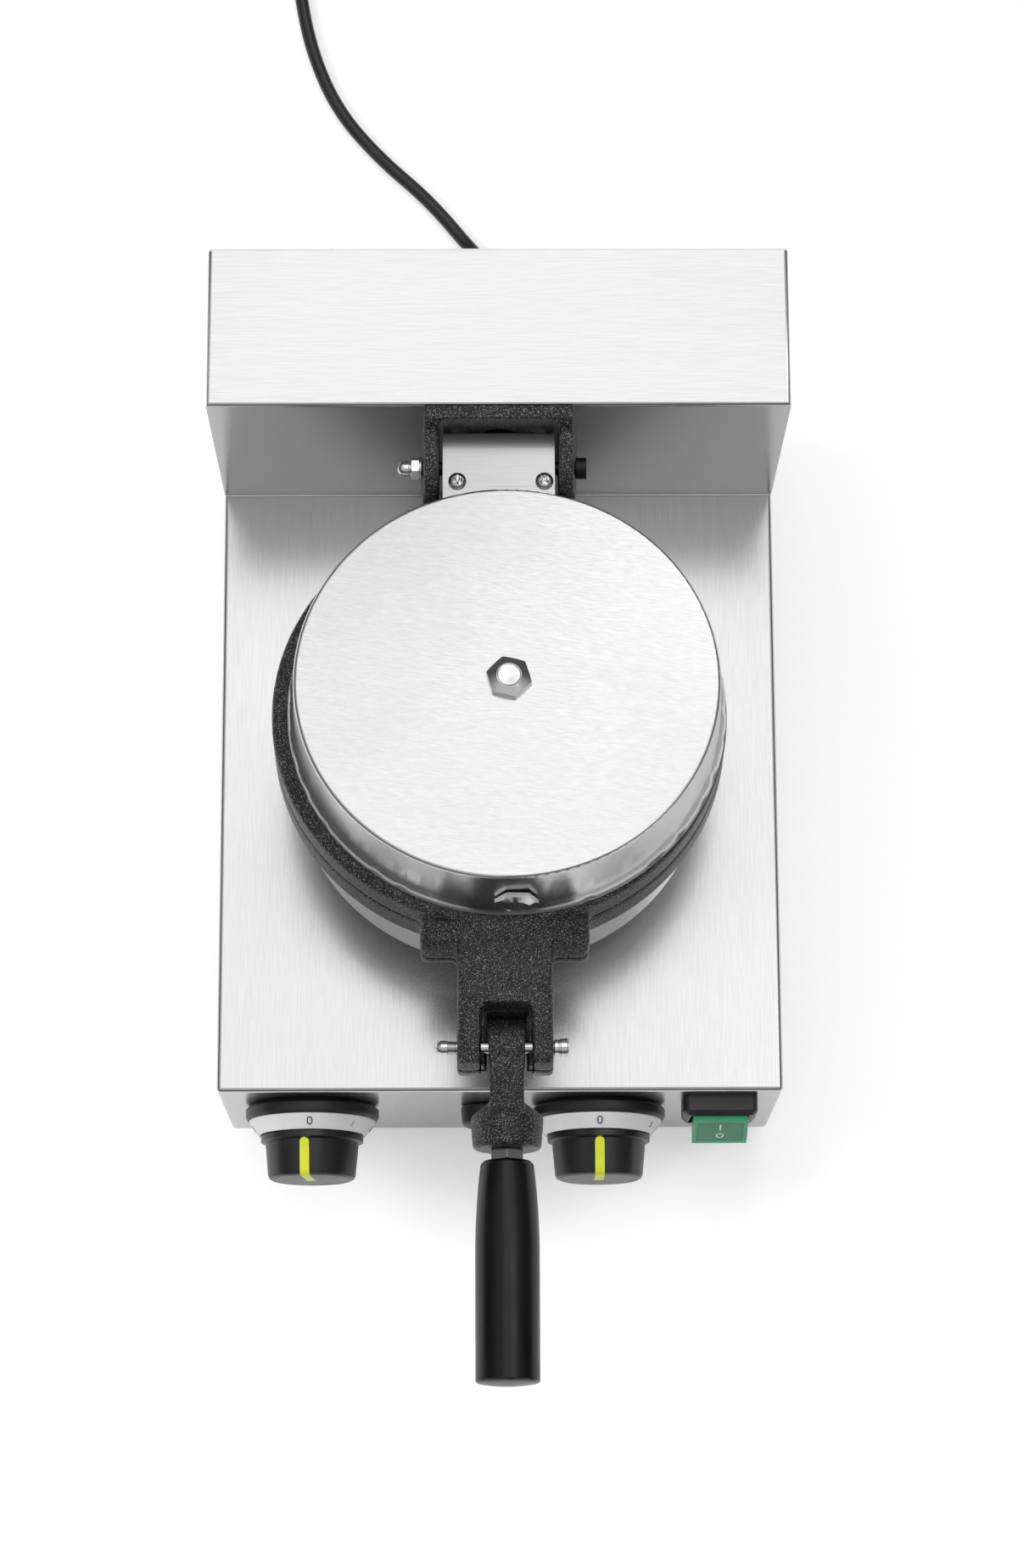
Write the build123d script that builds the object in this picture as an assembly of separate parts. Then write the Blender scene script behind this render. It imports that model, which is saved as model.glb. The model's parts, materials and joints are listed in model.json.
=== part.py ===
from build123d import *
import os
from math import ceil, cos, pi, radians, sin, sqrt, tan

# Countertop burger sealing press: a folded stainless chassis with a raised rear column,
# a leaning round head of two cast plates under pressed covers, a rear hinge and a front lever.
# Millimetres. X to the right, Y to the back, Z up, floor at Z = 0, origin under the
# middle of the overall depth. The head has its own frame: x, v to the back along the
# leaning joint between the two castings, w square to it, zero at the joint.

# Chassis
body_width = 250.0
body_depth = 346.0
base_height = 106.8
column_depth = 70.3
column_rise = 123.5
sheet = 1.0
bend_radius = 2.0
rim_width = 15.0
floor_sheet = 1.0
foot_height = 11.0
foot_radius = 13.0
foot_inset = 34.0

# Head and its place on the chassis
head_tilt = 9.5
head_lift = 82.4           # joint centre above the base top
casting_radius = 97.0
upper_rim_height = 15.0
lower_rim_height = 17.0
joint_gap = 0.6
cavity_radius = 56.0
cavity_depth = 24.0
cavity_draft = 6.0
bowl_wall = 6.0
gutter_radius = 68.0
gutter_width = 7.0
gutter_depth = 2.5
flange_width = 71.0
flange_reach = 107.8
arm_width = 40.0
arm_reach = 157.2
arm_height = 11.8
lower_arm_height = 13.0
arm_aside = 2.0
slot_width = 21.0
slot_length = 26.7
slot_aside = 0.6
end_draft = 1.3
lower_end_draft = 2.8
flange_crown_drop = 5.0
flange_slope = 5.5

# Covers
cover_radius = 89.6
cover_height = 33.0
lower_cover_height = 38.0
cover_edge_radius = 1.8
cover_lip_radius = 93.3
cover_lip_height = 2.0
cover_shift = 0.2          # cover axis ahead of the casting axis
cover_aside = 3.2          # cover axis to the right of the casting axis
cover_bolt_width = 17.0
cover_bolt_head = 4.2
cover_bolt_turn = -15.0
cover_bolt_aside = 0.8     # to the right of the cover axis
front_bolt_aside = 3.6
cover_sheet = 1.0

# Heaters, clamps and insulation inside the covers
heater_radius = 38.0
heater_tube_radius = 4.0
heater_opening = 30.0
heater_tail = 22.0
clamp_radius = 50.0
clamp_sheet = 1.5
insulation_radius = 66.0
insulation_thickness = 4.0
boss_radius = 9.0
seat_gap = 0.3

# Hinge
hinge_back = 102.5         # bolt axis behind the head centre, along the joint
hinge_rise = 40.4          # bolt axis above the joint
hinge_clearance = 0.64     # from the lid's rear edge, as it turns, to the bracket's crossbar
hinge_bolt_radius = 3.0
running_gap = 0.06
fit_gap = 0.02
hinge_arm_width = 46.0
hinge_arm_wall = 6.0
hinge_arm_floor = 30.0
hinge_plate_width = 48.0
hinge_plate_sheet = 1.2
hinge_plate_back = 14.0
bracket_top_width = 63.4
bracket_bottom_width = 70.0
bracket_gap = 51.4
bracket_crossbar = 6.0
bracket_top_step = 0.8
bracket_height = 66.0
bracket_nose = 14.3
bracket_arm_rise = 14.4    # top of the two arms above the bolt axis
bracket_ramp = 4.0
bracket_nose_round = 12.5

# Lever
pin_inset = 9.2            # lever pin behind the arm's front end
pin_rise = 5.0
lever_drop = 8.0           # lever axis below the joint plane
tongue_width = 15.0
tongue_radius = 8.5
neck_height = 14.0
neck_width = 14.0
cam_reach = 13.5
flare_start = 23.0
collar_start = 29.5
collar_end = 42.5
collar_width = 30.0
grip_nut_width = 13.0
grip_nut_height = 4.6
grip_start = 47.6
grip_length = 90.0
grip_start_radius = 10.9
grip_radius = 13.2
grip_swell = 38.0
grip_dome = 1.2
grip_stud_radius = 4.0
lever_pin_radius = 2.5

# Front panel
knob_drop = 42.2           # control axis below the base top
thermostat_inset = 40.5    # from the left side of the body
timer_inset = 80.5         # from its right side, as the rocker
rocker_inset = 27.0
lamp_aside = 49.5          # pilot lamp to the left of the timer
rocker_drop = 23.3
bezel_radius = 30.0
bezel_depth = 7.0
dial_radius = 28.5
dial_inner_radius = 23.6
dial_depth = 6.5
knob_collar_radius = 23.0
knob_collar_depth = 2.5
knob_back_radius = 21.0
knob_face_radius = 19.7
knob_depth = 17.0
knob_edge = 2.0
pointer_width = 4.2
pointer_proud = 0.25
thermostat_pointer_angle = 7.0
timer_pointer_angle = 0.0
spindle_radius = 3.0
lamp_radius = 12.5
lamp_depth = 9.5
lens_radius = 7.5
lens_dome = 5.0
rocker_frame_width = 33.0
rocker_frame_height = 27.0
rocker_frame_depth = 9.0
rocker_width = 24.5
rocker_height = 21.0
rocker_proud = 18.5
rocker_tilt = 12.0
rocker_pivot_depth = 2.0

# Cord and plug
cord_radius = 3.25
gland_x = 12.0
gland_height = 50.0
gland_length = 20.0
coil_radius = 48.0
coil_step = 7.2
coil_half_turns = 6
coil_x = -102.0
coil_behind = 291.5        # start of the coil behind the rear edge of the chassis

nodes = {}


# Shared shapes

def keep(name, shape):
    nodes[name] = shape


def block(x0, x1, y0, y1, z0, z1):
    middle = ((x0 + x1) / 2, (y0 + y1) / 2, (z0 + z1) / 2)
    return Pos(*middle) * Box(x1 - x0, y1 - y0, z1 - z0)


def rod(radius, length, place=Location()):
    """A cylinder from its place along that place's Z."""
    return place * Cylinder(radius, length, align=(Align.CENTER, Align.CENTER, Align.MIN))


def turned(profile, place=Location()):
    """A solid of revolution: (radius, height) points turned about the place's Z."""
    outline = Polyline(*[(r, 0, h) for r, h in profile], close=True)
    return place * revolve(make_face(outline), Axis.Z, 360)


def side_plate(points, half_width, place=Location()):
    """A (y, z) outline thickened equally to both sides of x = 0."""
    outline = Polyline(*[(0, y, z) for y, z in points], close=True)
    return place * extrude(make_face(outline), half_width, dir=(1, 0, 0), both=True)


def plan_plate(points, z0, z1, place=Location()):
    """An (x, y) outline raised from z0 to z1."""
    outline = Polyline(*[(x, y, z0) for x, y in points], close=True)
    return place * extrude(make_face(outline), z1 - z0, dir=(0, 0, 1))


def hexagon(across_flats, height, place=Location(), turn=0.0):
    corner = across_flats / sqrt(3)
    prism = extrude(RegularPolygon(corner, 6, rotation=turn), height)
    crown = across_flats / 2 + 0.15
    trim = turned([(0, 0), (corner + 1, 0), (corner + 1, height - (corner + 1 - crown) * 0.5),
                   (crown, height), (0, height)])
    return place * (prism & trim)


def edges_at(part, axis, *targets):
    """The edges along an axis that lie nearest to each target point."""
    along = part.edges().filter_by(axis)
    return [along.sort_by_distance(target)[0] for target in targets]


def fused(first, *others):
    result = first
    for other in others:
        result = result + other
    return result


# Derived places

base_bottom = foot_height + floor_sheet
base_top = base_bottom + base_height
column_top = base_top + column_rise
rear_sheet = sheet
screw_head_height = 2.2

upper_low = joint_gap / 2
upper_high = upper_rim_height
lower_high = -joint_gap / 2
lower_low = -lower_rim_height
cover_top = upper_high + cover_height
cover_seat = cover_top - cover_sheet
plate_top = cover_top - 0.5
plate_low = plate_top - hinge_plate_sheet

tilt = radians(head_tilt)
hinge_swing = sqrt(hinge_plate_back ** 2 + (plate_top - hinge_rise) ** 2)
hinge_ahead = bracket_crossbar + hinge_clearance + hinge_swing
head_ahead = hinge_ahead + hinge_back * cos(tilt) + hinge_rise * sin(tilt)
head_back = body_depth - column_depth - head_ahead
pin_forward = arm_reach - pin_inset
slot_start = arm_reach - slot_length
lever_lean = radians(head_tilt - lever_drop)
pin_ahead = -(head_back - pin_forward * cos(tilt) + pin_rise * sin(tilt))
grip_end = grip_start + grip_length
lever_reach = pin_ahead + (grip_end + grip_dome) * cos(lever_lean)
rear_reach = body_depth + rear_sheet + gland_length
front_y = (lever_reach - rear_reach) / 2
rear_y = front_y + body_depth
column_y = rear_y - column_depth

head = Location((0, front_y + head_back, base_top + head_lift), (-head_tilt, 0, 0))
lever_frame = head * Location((arm_aside + slot_aside, -pin_forward, pin_rise), (lever_drop, 0, 0))
flipped = Location((0, 0, 0), (180, 0, 0))
hinge = head * Pos(0, hinge_back, hinge_rise)
hinge_y, hinge_z = hinge.position.Y, hinge.position.Z


def on_front(x, z):
    """A frame on the front panel whose Z points out to the front and whose Y points up."""
    return Location((x, front_y, z), (90, 0, 0))


def on_rear(x, z):
    """A frame on the rear panel's outer face whose Z points out to the back."""
    return Location((x, rear_y + rear_sheet, z), (-90, 0, 0))


# Chassis sheet metal

def folded_case(x, y0, y1, z0, z1, rounded):
    """A closed sheet box with bent edges at the given places."""
    outer = block(-x, x, y0, y1, z0, z1)
    inner = block(-x + sheet, x - sheet, y0 + sheet, y1 - sheet, z0 + sheet, z1 - sheet)
    outer_edges, inner_edges = [], []
    for axis, spots in rounded.items():
        outer_edges += edges_at(outer, axis, *spots)
        inner_edges += edges_at(inner, axis, *spots)
    return fillet(outer_edges, bend_radius) - fillet(inner_edges, bend_radius - sheet)


half = body_width / 2
thermostat_x = -half + thermostat_inset
timer_x = half - timer_inset
lamp_x = timer_x - lamp_aside
rocker_x = half - rocker_inset
mid_y = (front_y + rear_y) / 2
control_z = base_top - knob_drop
rocker_z = base_top - rocker_drop
wire_hole = 20.0
screw_radius = 2.0
panel_screw_x = [-half + rim_width / 2, half - rim_width / 2]
panel_screw_z = [base_bottom + 9, base_top - 20, base_top + 20]
top_screw_x = [-72.0, 72.0]
panel_screws = [(x, z) for x in panel_screw_x for z in panel_screw_z]
panel_screws += [(x, column_top - rim_width / 2) for x in top_screw_x]


def base_shell():
    case = folded_case(half, front_y, rear_y, base_bottom, base_top, {
        Axis.Y: [(-half, mid_y, base_top), (half, mid_y, base_top)],
        Axis.X: [(0, front_y, base_top)],
        Axis.Z: [(-half, front_y, base_bottom), (half, front_y, base_bottom)]})
    under = block(-half + rim_width, half - rim_width, front_y + rim_width,
                  rear_y - rim_width, base_bottom - 1, base_bottom + sheet + 1)
    behind = block(-half + rim_width, half - rim_width, rear_y - sheet - 1, rear_y + 1,
                   base_bottom + rim_width, base_top - rim_width)
    to_column = block(-40, 40, column_y + 15, rear_y - 15, base_top - sheet - 1, base_top + 1)
    case = case - under - behind - to_column
    case = case - rod(wire_hole, 20, Pos(0, front_y + head_back, base_top - 10))
    for x in (thermostat_x, timer_x):
        case = case - rod(5.2, 10, on_front(x, control_z) * Pos(0, 0, -5))
    case = case - rod(lamp_stem + 0.1, 10, on_front(lamp_x, control_z) * Pos(0, 0, -5))
    case = case - on_front(rocker_x, rocker_z) * Box(
        rocker_stem_width + 0.2, rocker_stem_height + 0.2, 10)
    for x, z in panel_screws:
        if z < base_top:
            case = case - rod(screw_radius - 0.2, 12, Location((x, rear_y + 2, z), (90, 0, 0)))
    for x, y in plate_screws:
        case = case - rod(screw_radius - 0.2, 8, Pos(x, y, base_bottom - 4))
    for x, y in pedestal_bolts:
        case = case - rod(pedestal_bolt_radius + 0.2, 8, Pos(x, y, base_top - 4))
    return case


def column_shell():
    case = folded_case(half, column_y, rear_y, base_top, column_top, {
        Axis.Y: [(-half, column_y + 30, column_top), (half, column_y + 30, column_top)],
        Axis.X: [(0, column_y, column_top)]})
    under = block(-half + rim_width, half - rim_width, column_y + rim_width,
                  rear_y - rim_width, base_top - 1, base_top + sheet + 1)
    behind = block(-half + rim_width, half - rim_width, rear_y - sheet - 1, rear_y + 1,
                   base_top + rim_width, column_top - rim_width)
    case = case - under - behind
    case = case - rod(7, 10, Location((0, column_y + 5, bracket_wire_z), (90, 0, 0)))
    for x, z in bracket_screws:
        case = case - rod(bracket_screw_radius + 0.2, 10, Location((x, column_y + 5, z), (90, 0, 0)))
    for x, z in panel_screws:
        if z > base_top:
            case = case - rod(screw_radius - 0.2, 12, Location((x, rear_y + 2, z), (90, 0, 0)))
    return case


def rear_panel():
    panel = block(-half + 0.5, half - 0.5, rear_y, rear_y + rear_sheet, base_bottom + 0.5, column_top - 0.3)
    for x, z in panel_screws:
        panel = panel - rod(screw_radius + 0.2, 6, Location((x, rear_y + 3, z), (90, 0, 0)))
    panel = panel - rod(gland_stem + 0.2, 8, Location((gland_x, rear_y + 4, gland_z), (90, 0, 0)))
    slot_count = 7
    for i in range(slot_count):
        x = (i - (slot_count - 1) / 2) * 16
        panel = panel - block(x - 2, x + 2, rear_y - 1, rear_y + 3, column_top - 60, column_top - 35)
    return panel


def pan_screw(head_radius, head_height, shank_radius, shank_length, place):
    """A pan-head screw whose head stands on the place and whose shank runs down its Z."""
    head_part = turned([(0, 0), (head_radius, 0), (head_radius, head_height * 0.35),
                        (head_radius * 0.8, head_height * 0.8), (head_radius * 0.45, head_height),
                        (0, head_height)])
    cross = 0.32 * head_radius
    recess = Pos(0, 0, head_height) * (Box(head_radius * 1.1, cross, head_height)
                                       + Box(cross, head_radius * 1.1, head_height))
    shank = rod(shank_radius, shank_length, Pos(0, 0, -shank_length))
    return place * ((head_part - recess) + shank)


pedestal_bolt_radius = 2.5
pedestal_flange_radius = 52.0
pedestal_bolt_circle = 46.0
pedestal_bolts = [(pedestal_bolt_circle * cos(radians(a)),
                   front_y + head_back + pedestal_bolt_circle * sin(radians(a)))
                  for a in (45, 135, 225, 315)]
plate_screws = [(sx * (half - rim_width / 2), y) for sx in (-1, 1)
                for y in (front_y + 70, mid_y, rear_y - 70)]
feet_places = [(sx * (half - foot_inset), y) for sx in (-1, 1)
               for y in (front_y + foot_inset, rear_y - foot_inset)]
lamp_stem = 8.0
rocker_stem_width = 29.0
rocker_stem_height = 22.0
bracket_wire_z = hinge_z - 4
bracket_screw_radius = 3.0
bracket_bottom = column_top + bracket_top_step - bracket_height
bracket_screws = [(x, z) for x in (-17.0, 17.0) for z in (bracket_bottom + 14, column_top - 18)]
gland_z = gland_height
gland_stem = 6.0


def bottom_plate():
    inset = 2.0
    plate = block(-half + inset, half - inset, front_y + inset, rear_y - inset,
                  foot_height, foot_height + floor_sheet)
    for x, y in feet_places:
        plate = plate - rod(2.7, 6, Pos(x, y, foot_height - 2))
    for x, y in plate_screws:
        plate = plate - rod(screw_radius + 0.2, 6, Pos(x, y, foot_height - 2))
    for i in range(8):
        x = (i - 3.5) * 14
        plate = plate - block(x - 2, x + 2, mid_y + 40, mid_y + 80, foot_height - 1, base_bottom + 1)
    return plate


def feet():
    foot = turned([(2.7, 5), (6, 5), (6, 0), (foot_radius - 2.5, 0), (foot_radius - 1.5, 1),
                   (foot_radius, foot_height - 1.5), (foot_radius, foot_height),
                   (2.7, foot_height)])
    return Compound([Pos(x, y, 0) * foot for x, y in feet_places])


def foot_screws():
    length = foot_height - 5 + floor_sheet + 6
    screws = []
    for x, y in feet_places:
        upside_down = Location((x, y, 5), (180, 0, 0))
        screws.append(pan_screw(4.6, 3.0, 2.5, length, upside_down))
    return Compound(screws)


def plate_fixings():
    return Compound([pan_screw(3.6, screw_head_height, screw_radius - 0.2, 6,
                               Location((x, y, foot_height), (180, 0, 0)))
                     for x, y in plate_screws])


def panel_fixings():
    return Compound([pan_screw(3.6, screw_head_height, screw_radius - 0.2, 8, on_rear(x, z))
                     for x, z in panel_screws])


# Front controls

def knob_bezel(x):
    profile = [(5.4, 0), (bezel_radius - 2, 0), (bezel_radius, 2), (bezel_radius, bezel_depth - 2),
               (bezel_radius - 1, bezel_depth), (dial_radius + 0.2, bezel_depth),
               (dial_radius + 0.2, bezel_depth - 2), (dial_inner_radius, bezel_depth - 2),
               (dial_inner_radius, bezel_depth - 3.5), (5.4, bezel_depth - 3.5)]
    return turned(profile, on_front(x, control_z))


def dial_ring(x):
    outer, inner = dial_radius, dial_inner_radius
    base, top = bezel_depth - 2, bezel_depth + dial_depth
    profile = [(outer, base), (outer, bezel_depth + 0.4), (inner + 0.4, top), (inner - 0.6, top),
               (inner - 0.6, base)]
    return turned(profile, on_front(x, control_z))


knob_start = bezel_depth + dial_depth + 0.4
knob_end = knob_start + knob_collar_depth + knob_depth
knob_wall = 2.4


def knob_outer(turn_out=0.0):
    back = knob_start + knob_collar_depth
    return [(0, knob_start), (knob_collar_radius + turn_out, knob_start),
            (knob_collar_radius + turn_out, back), (knob_back_radius + turn_out, back + 0.8),
            (knob_face_radius + turn_out, knob_end - knob_edge),
            (knob_face_radius - knob_edge * 0.3 + turn_out, knob_end - knob_edge * 0.35),
            (knob_face_radius - knob_edge + turn_out, knob_end + turn_out), (0, knob_end + turn_out)]


def pointer_zone(angle, place):
    """The slab of the knob that carries the coloured line, at its angle from the top."""
    start = knob_start + knob_collar_depth + 2.5
    slab = Pos(0, knob_back_radius / 2 + 1, (start + knob_end) / 2 + 1) * Box(
        pointer_width, knob_back_radius + 2, knob_end - start + 2)
    tip = rod(pointer_width / 2, knob_back_radius + 2, Location((0, 0, start), (-90, 0, 0)))
    return place * Rot(0, 0, angle) * (slab + tip)


def knob(x, angle):
    place = on_front(x, control_z)
    body = turned(knob_outer(), place)
    hollow = turned([(0, knob_start - 1), (knob_back_radius - knob_wall, knob_start - 1),
                     (knob_face_radius - knob_wall, knob_end - knob_wall), (0, knob_end - knob_wall)],
                    place)
    hub = rod(6.5, knob_end - knob_wall - knob_start, place * Pos(0, 0, knob_start))
    body = (body - hollow) + hub
    body = body - rod(spindle_radius + fit_gap, spindle_grip, place * Pos(0, 0, knob_start - 1))
    skin = turned(knob_outer(), place) - turned(knob_outer(-0.8), place)
    return body - (skin & pointer_zone(angle, place))


def knob_pointer(x, angle):
    place = on_front(x, control_z)
    skin = turned(knob_outer(pointer_proud), place) - turned(knob_outer(-0.8), place)
    line = skin & pointer_zone(angle, place)
    return line.solids().sort_by(SortBy.VOLUME)[-1]


spindle_grip = 13.0


def spindle(x):
    place = on_front(x, control_z)
    return rod(spindle_radius, knob_start + spindle_grip - 1 + 10, place * Pos(0, 0, -10))


def control_body(x, width, height, depth):
    """A control behind the panel with a threaded neck round its spindle."""
    place = on_front(x, control_z)
    body = place * Pos(0, 0, -sheet - depth / 2) * Box(width, height, depth)
    neck = rod(5.0, sheet + 3.0, place * Pos(0, 0, -sheet))
    bore = rod(spindle_radius + running_gap, depth + 12, place * Pos(0, 0, -12))
    return (body + neck) - bore


def lamp_bezel():
    """A turned ring in front of the panel with its threaded stem behind."""
    return turned([(lamp_stem - 1.5, -22), (lamp_stem, -22), (lamp_stem, 0), (lamp_radius - 1, 0),
                   (lamp_radius, 1), (lamp_radius - 0.6, lamp_depth - 1.4),
                   (lamp_radius - 2.2, lamp_depth), (lens_radius + 0.6, lamp_depth),
                   (lens_radius, lamp_depth - 2), (lens_radius, 1.2), (lamp_stem - 1.5, 1.2)],
                  on_front(lamp_x, control_z))


def lamp_lens():
    rise = lamp_depth - 1.8
    profile = [(0, rise - 1.5), (lens_radius - 0.1, rise - 1.5), (lens_radius - 0.1, rise + 0.2),
               (lens_radius - 1.2, rise + lens_dome * 0.55), (lens_radius * 0.55, rise + lens_dome * 0.9),
               (0, rise + lens_dome)]
    return turned(profile, on_front(lamp_x, control_z))


def rocker_frame():
    place = on_front(rocker_x, rocker_z)
    w, h, d = rocker_frame_width, rocker_frame_height, rocker_frame_depth
    frame = extrude(RectangleRounded(w, h, 3.0), d)
    frame = chamfer(frame.faces().sort_by(Axis.Z)[-1].edges(), 2.0)
    stem = Pos(0, 0, -24) * extrude(Rectangle(rocker_stem_width, rocker_stem_height), 24)
    gap = 0.4
    well = Pos(0, 0, -12) * extrude(
        Rectangle(rocker_width + 2 * gap, rocker_height + 2 * gap), 12 + d + 1)
    axle = rod(1.5, rocker_width + 2.0, Location(
        (-rocker_width / 2 - 1.0, 0, rocker_pivot_depth), (0, 90, 0)))
    return place * ((frame + stem) - well + axle)


def rocker_button():
    """The rocker, pressed in at its upper end, turned about its axle."""
    place = on_front(rocker_x, rocker_z) * Location((0, 0, rocker_pivot_depth), (-rocker_tilt, 0, 0))
    half_h = rocker_height / 2 - 1.4
    out = rocker_proud - rocker_pivot_depth
    outline = [(-half_h + 2.2, -7), (half_h - 2.2, -7), (half_h, 3), (half_h, out - 1.5),
               (half_h - 1.5, out), (0, out - 1.6), (-half_h + 1.5, out), (-half_h, out - 1.5),
               (-half_h, 3)]
    return place * (side_plate(outline, rocker_width / 2) - rod(
        1.5 + running_gap, rocker_width + 4, Location((-rocker_width / 2 - 2, 0, 0), (0, 90, 0))))


def terminal_block():
    x, y, z = 60.0, mid_y + 60, base_bottom
    body = block(x - 25, x + 25, y - 10, y + 10, z, z + 18)
    for i in range(5):
        px = x + (i - 2) * 9
        body = body - rod(2.5, 8, Pos(px, y - 4, z + 12)) - rod(2.5, 8, Pos(px, y + 5, z + 12))
    return body


# Head castings

def cavity_profile(outward):
    """The cavity half-section, grown outward by a wall."""
    top = cavity_depth + outward
    mouth = cavity_radius + outward
    bottom = cavity_radius - cavity_draft + outward
    corner = 7.0
    return [(0, 0), (mouth, 0), (bottom + 1.5, top - corner), (bottom - 1.2, top - corner * 0.35),
            (bottom - corner, top), (0, top)]


def front_arm(low, high, arm_high, draft):
    """The front flange with its crowned top, the forked arm and the slot between two levels."""
    w2 = flange_width / 2
    flange = plan_plate([(-w2, -75), (w2, -75), (w2, -flange_reach), (-w2, -flange_reach)], low, high)
    flange = fillet(edges_at(flange, Axis.Z, (-w2, -flange_reach, low), (w2, -flange_reach, low)), 5.0)
    crown_radius = w2 ** 2 / (2 * flange_crown_drop)
    crown = rod(crown_radius, 60, Location((0, -60, high - crown_radius), (90, 0, 0)))
    slope = side_plate([(0, low), (0, high), (-flange_reach + flange_slope, high),
                        (-flange_reach, low + 1), (-flange_reach, low)], w2 + 1)
    flange = flange & crown & slope
    a2 = arm_width / 2
    arm = plan_plate([(-a2, -80), (a2, -80), (a2, -arm_reach), (-a2, -arm_reach)], low, arm_high)
    arm = fillet(edges_at(arm, Axis.Z, (-a2, -arm_reach, low), (a2, -arm_reach, low)), 2.0)
    arm = arm & side_plate([(0, low), (0, arm_high), (-arm_reach + draft, arm_high),
                            (-arm_reach, low)], a2 + 1)
    s2 = slot_width / 2
    slot = plan_plate([(-s2, -slot_start), (s2, -slot_start), (s2, -arm_reach - 5),
                       (-s2, -arm_reach - 5)], low - 5, arm_high + 5)
    slot = fillet(edges_at(slot, Axis.Z, (-s2, -slot_start, low), (s2, -slot_start, low)), 3.0)
    return flange, arm, Pos(slot_aside, 0, 0) * slot


def gutter(level, sign):
    g, d = gutter_radius, gutter_depth * sign
    return turned([(g, level - sign), (g + gutter_width, level - sign), (g + gutter_width, level),
                   (g + gutter_width - 1.5, level + d), (g + 1.5, level + d), (g, level)])


def upper_casting():
    edge = 1.5
    rim = turned([(0, upper_low), (casting_radius, upper_low), (casting_radius, upper_high - edge),
                  (casting_radius - edge, upper_high), (0, upper_high)])
    bowl = turned(cavity_profile(bowl_wall))
    bowl = bowl & block(-100, 100, -100, 100, upper_low, 100)
    boss = rod(boss_radius, cover_seat - cavity_depth - 1, Pos(bolt_x, -cover_shift, cavity_depth + 1))
    lug = Pos(cover_aside + front_bolt_aside, -cover_shift - cover_radius, 0) * block(
        -8, 8, cover_sheet + 1.4, 13, upper_high - 2, upper_high + 20)
    flange, arm, slot = front_arm(upper_low, upper_high - 1.0, arm_height, end_draft)
    flange, arm, slot = aside * flange, aside * arm, aside * slot
    inside = turned([(r, h) for r, h in cavity_profile(0)]) & block(-100, 100, -100, 100, -1, 100)
    body = fused(rim, bowl, boss, lug, flange, arm, hinge_arm())
    body = body - slot - inside - gutter(upper_low, 1)
    body = body - rod(5, 22, Pos(bolt_x, -cover_shift, cover_seat - 12))
    front_bolt = head_front_bolt * rod(4.0, 30, Pos(0, 0, -29))
    body = body - front_bolt
    body = body - rod(lever_pin_radius + 0.05, 2 * arm_width, Location(
        (-arm_width, -pin_forward, pin_rise), (0, 90, 0)))
    return head * body


aside = Pos(arm_aside, 0, 0)
bolt_x = cover_aside + cover_bolt_aside
front_bolt_level = upper_high + 12.0
head_front_bolt = Location((cover_aside + front_bolt_aside, -cover_shift - cover_radius - 1.1,
                            front_bolt_level), (90, 0, 0))
hinge_arm_front = -cover_shift + cover_radius + 1.6


def hinge_arm():
    """The channel-shaped arm that rises behind the cover and carries the hinge bores."""
    tail = 9.0
    foot = casting_radius + 8.5
    lip_clear = -cover_shift + cover_lip_radius + 1.0
    outline = [(casting_radius - 12, upper_low), (foot, upper_low), (foot, upper_high + 6),
               (hinge_back + tail, hinge_rise - 5), (hinge_back + tail + 1.5, plate_low),
               (hinge_arm_front, plate_low), (hinge_arm_front, upper_high + 6),
               (lip_clear, upper_high + 4), (lip_clear, upper_high), (casting_radius - 12, upper_high)]
    arm = side_plate(outline, hinge_arm_width / 2)
    inner = hinge_arm_width / 2 - hinge_arm_wall
    channel = block(-inner, inner, hinge_arm_front - 5, hinge_back + 40, hinge_arm_floor, plate_low + 5)
    bore = rod(hinge_bolt_radius + running_gap, hinge_arm_width + 10, Location(
        (-hinge_arm_width / 2 - 5, hinge_back, hinge_rise), (0, 90, 0)))
    arm = arm - channel - bore
    for x in hinge_screw_x:
        arm = arm - rod(1.5, 9, Pos(x, hinge_screw_v, plate_low - 8))
    return arm


hinge_screw_x = (-18.6, 18.6)
hinge_screw_v = 93.0


def hinge_plate():
    front = hinge_arm_front - 0.8
    back = hinge_back + hinge_plate_back
    w = hinge_plate_width / 2
    plate = block(-w, w, front, back, plate_low, plate_top)
    lip = block(-w, w, back - hinge_plate_sheet, back, plate_low - 4, plate_low)
    plate = plate + lip
    plate = fillet(edges_at(plate, Axis.X, (0, back, plate_top)), 1.0)
    for x in hinge_screw_x:
        plate = plate - rod(1.8, 5, Pos(x, hinge_screw_v, plate_low - 2))
    return head * plate


def hinge_plate_screws():
    return Compound([pan_screw(3.8, 2.4, 1.48, 6, head * Pos(x, hinge_screw_v, plate_top))
                     for x in hinge_screw_x])


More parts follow.
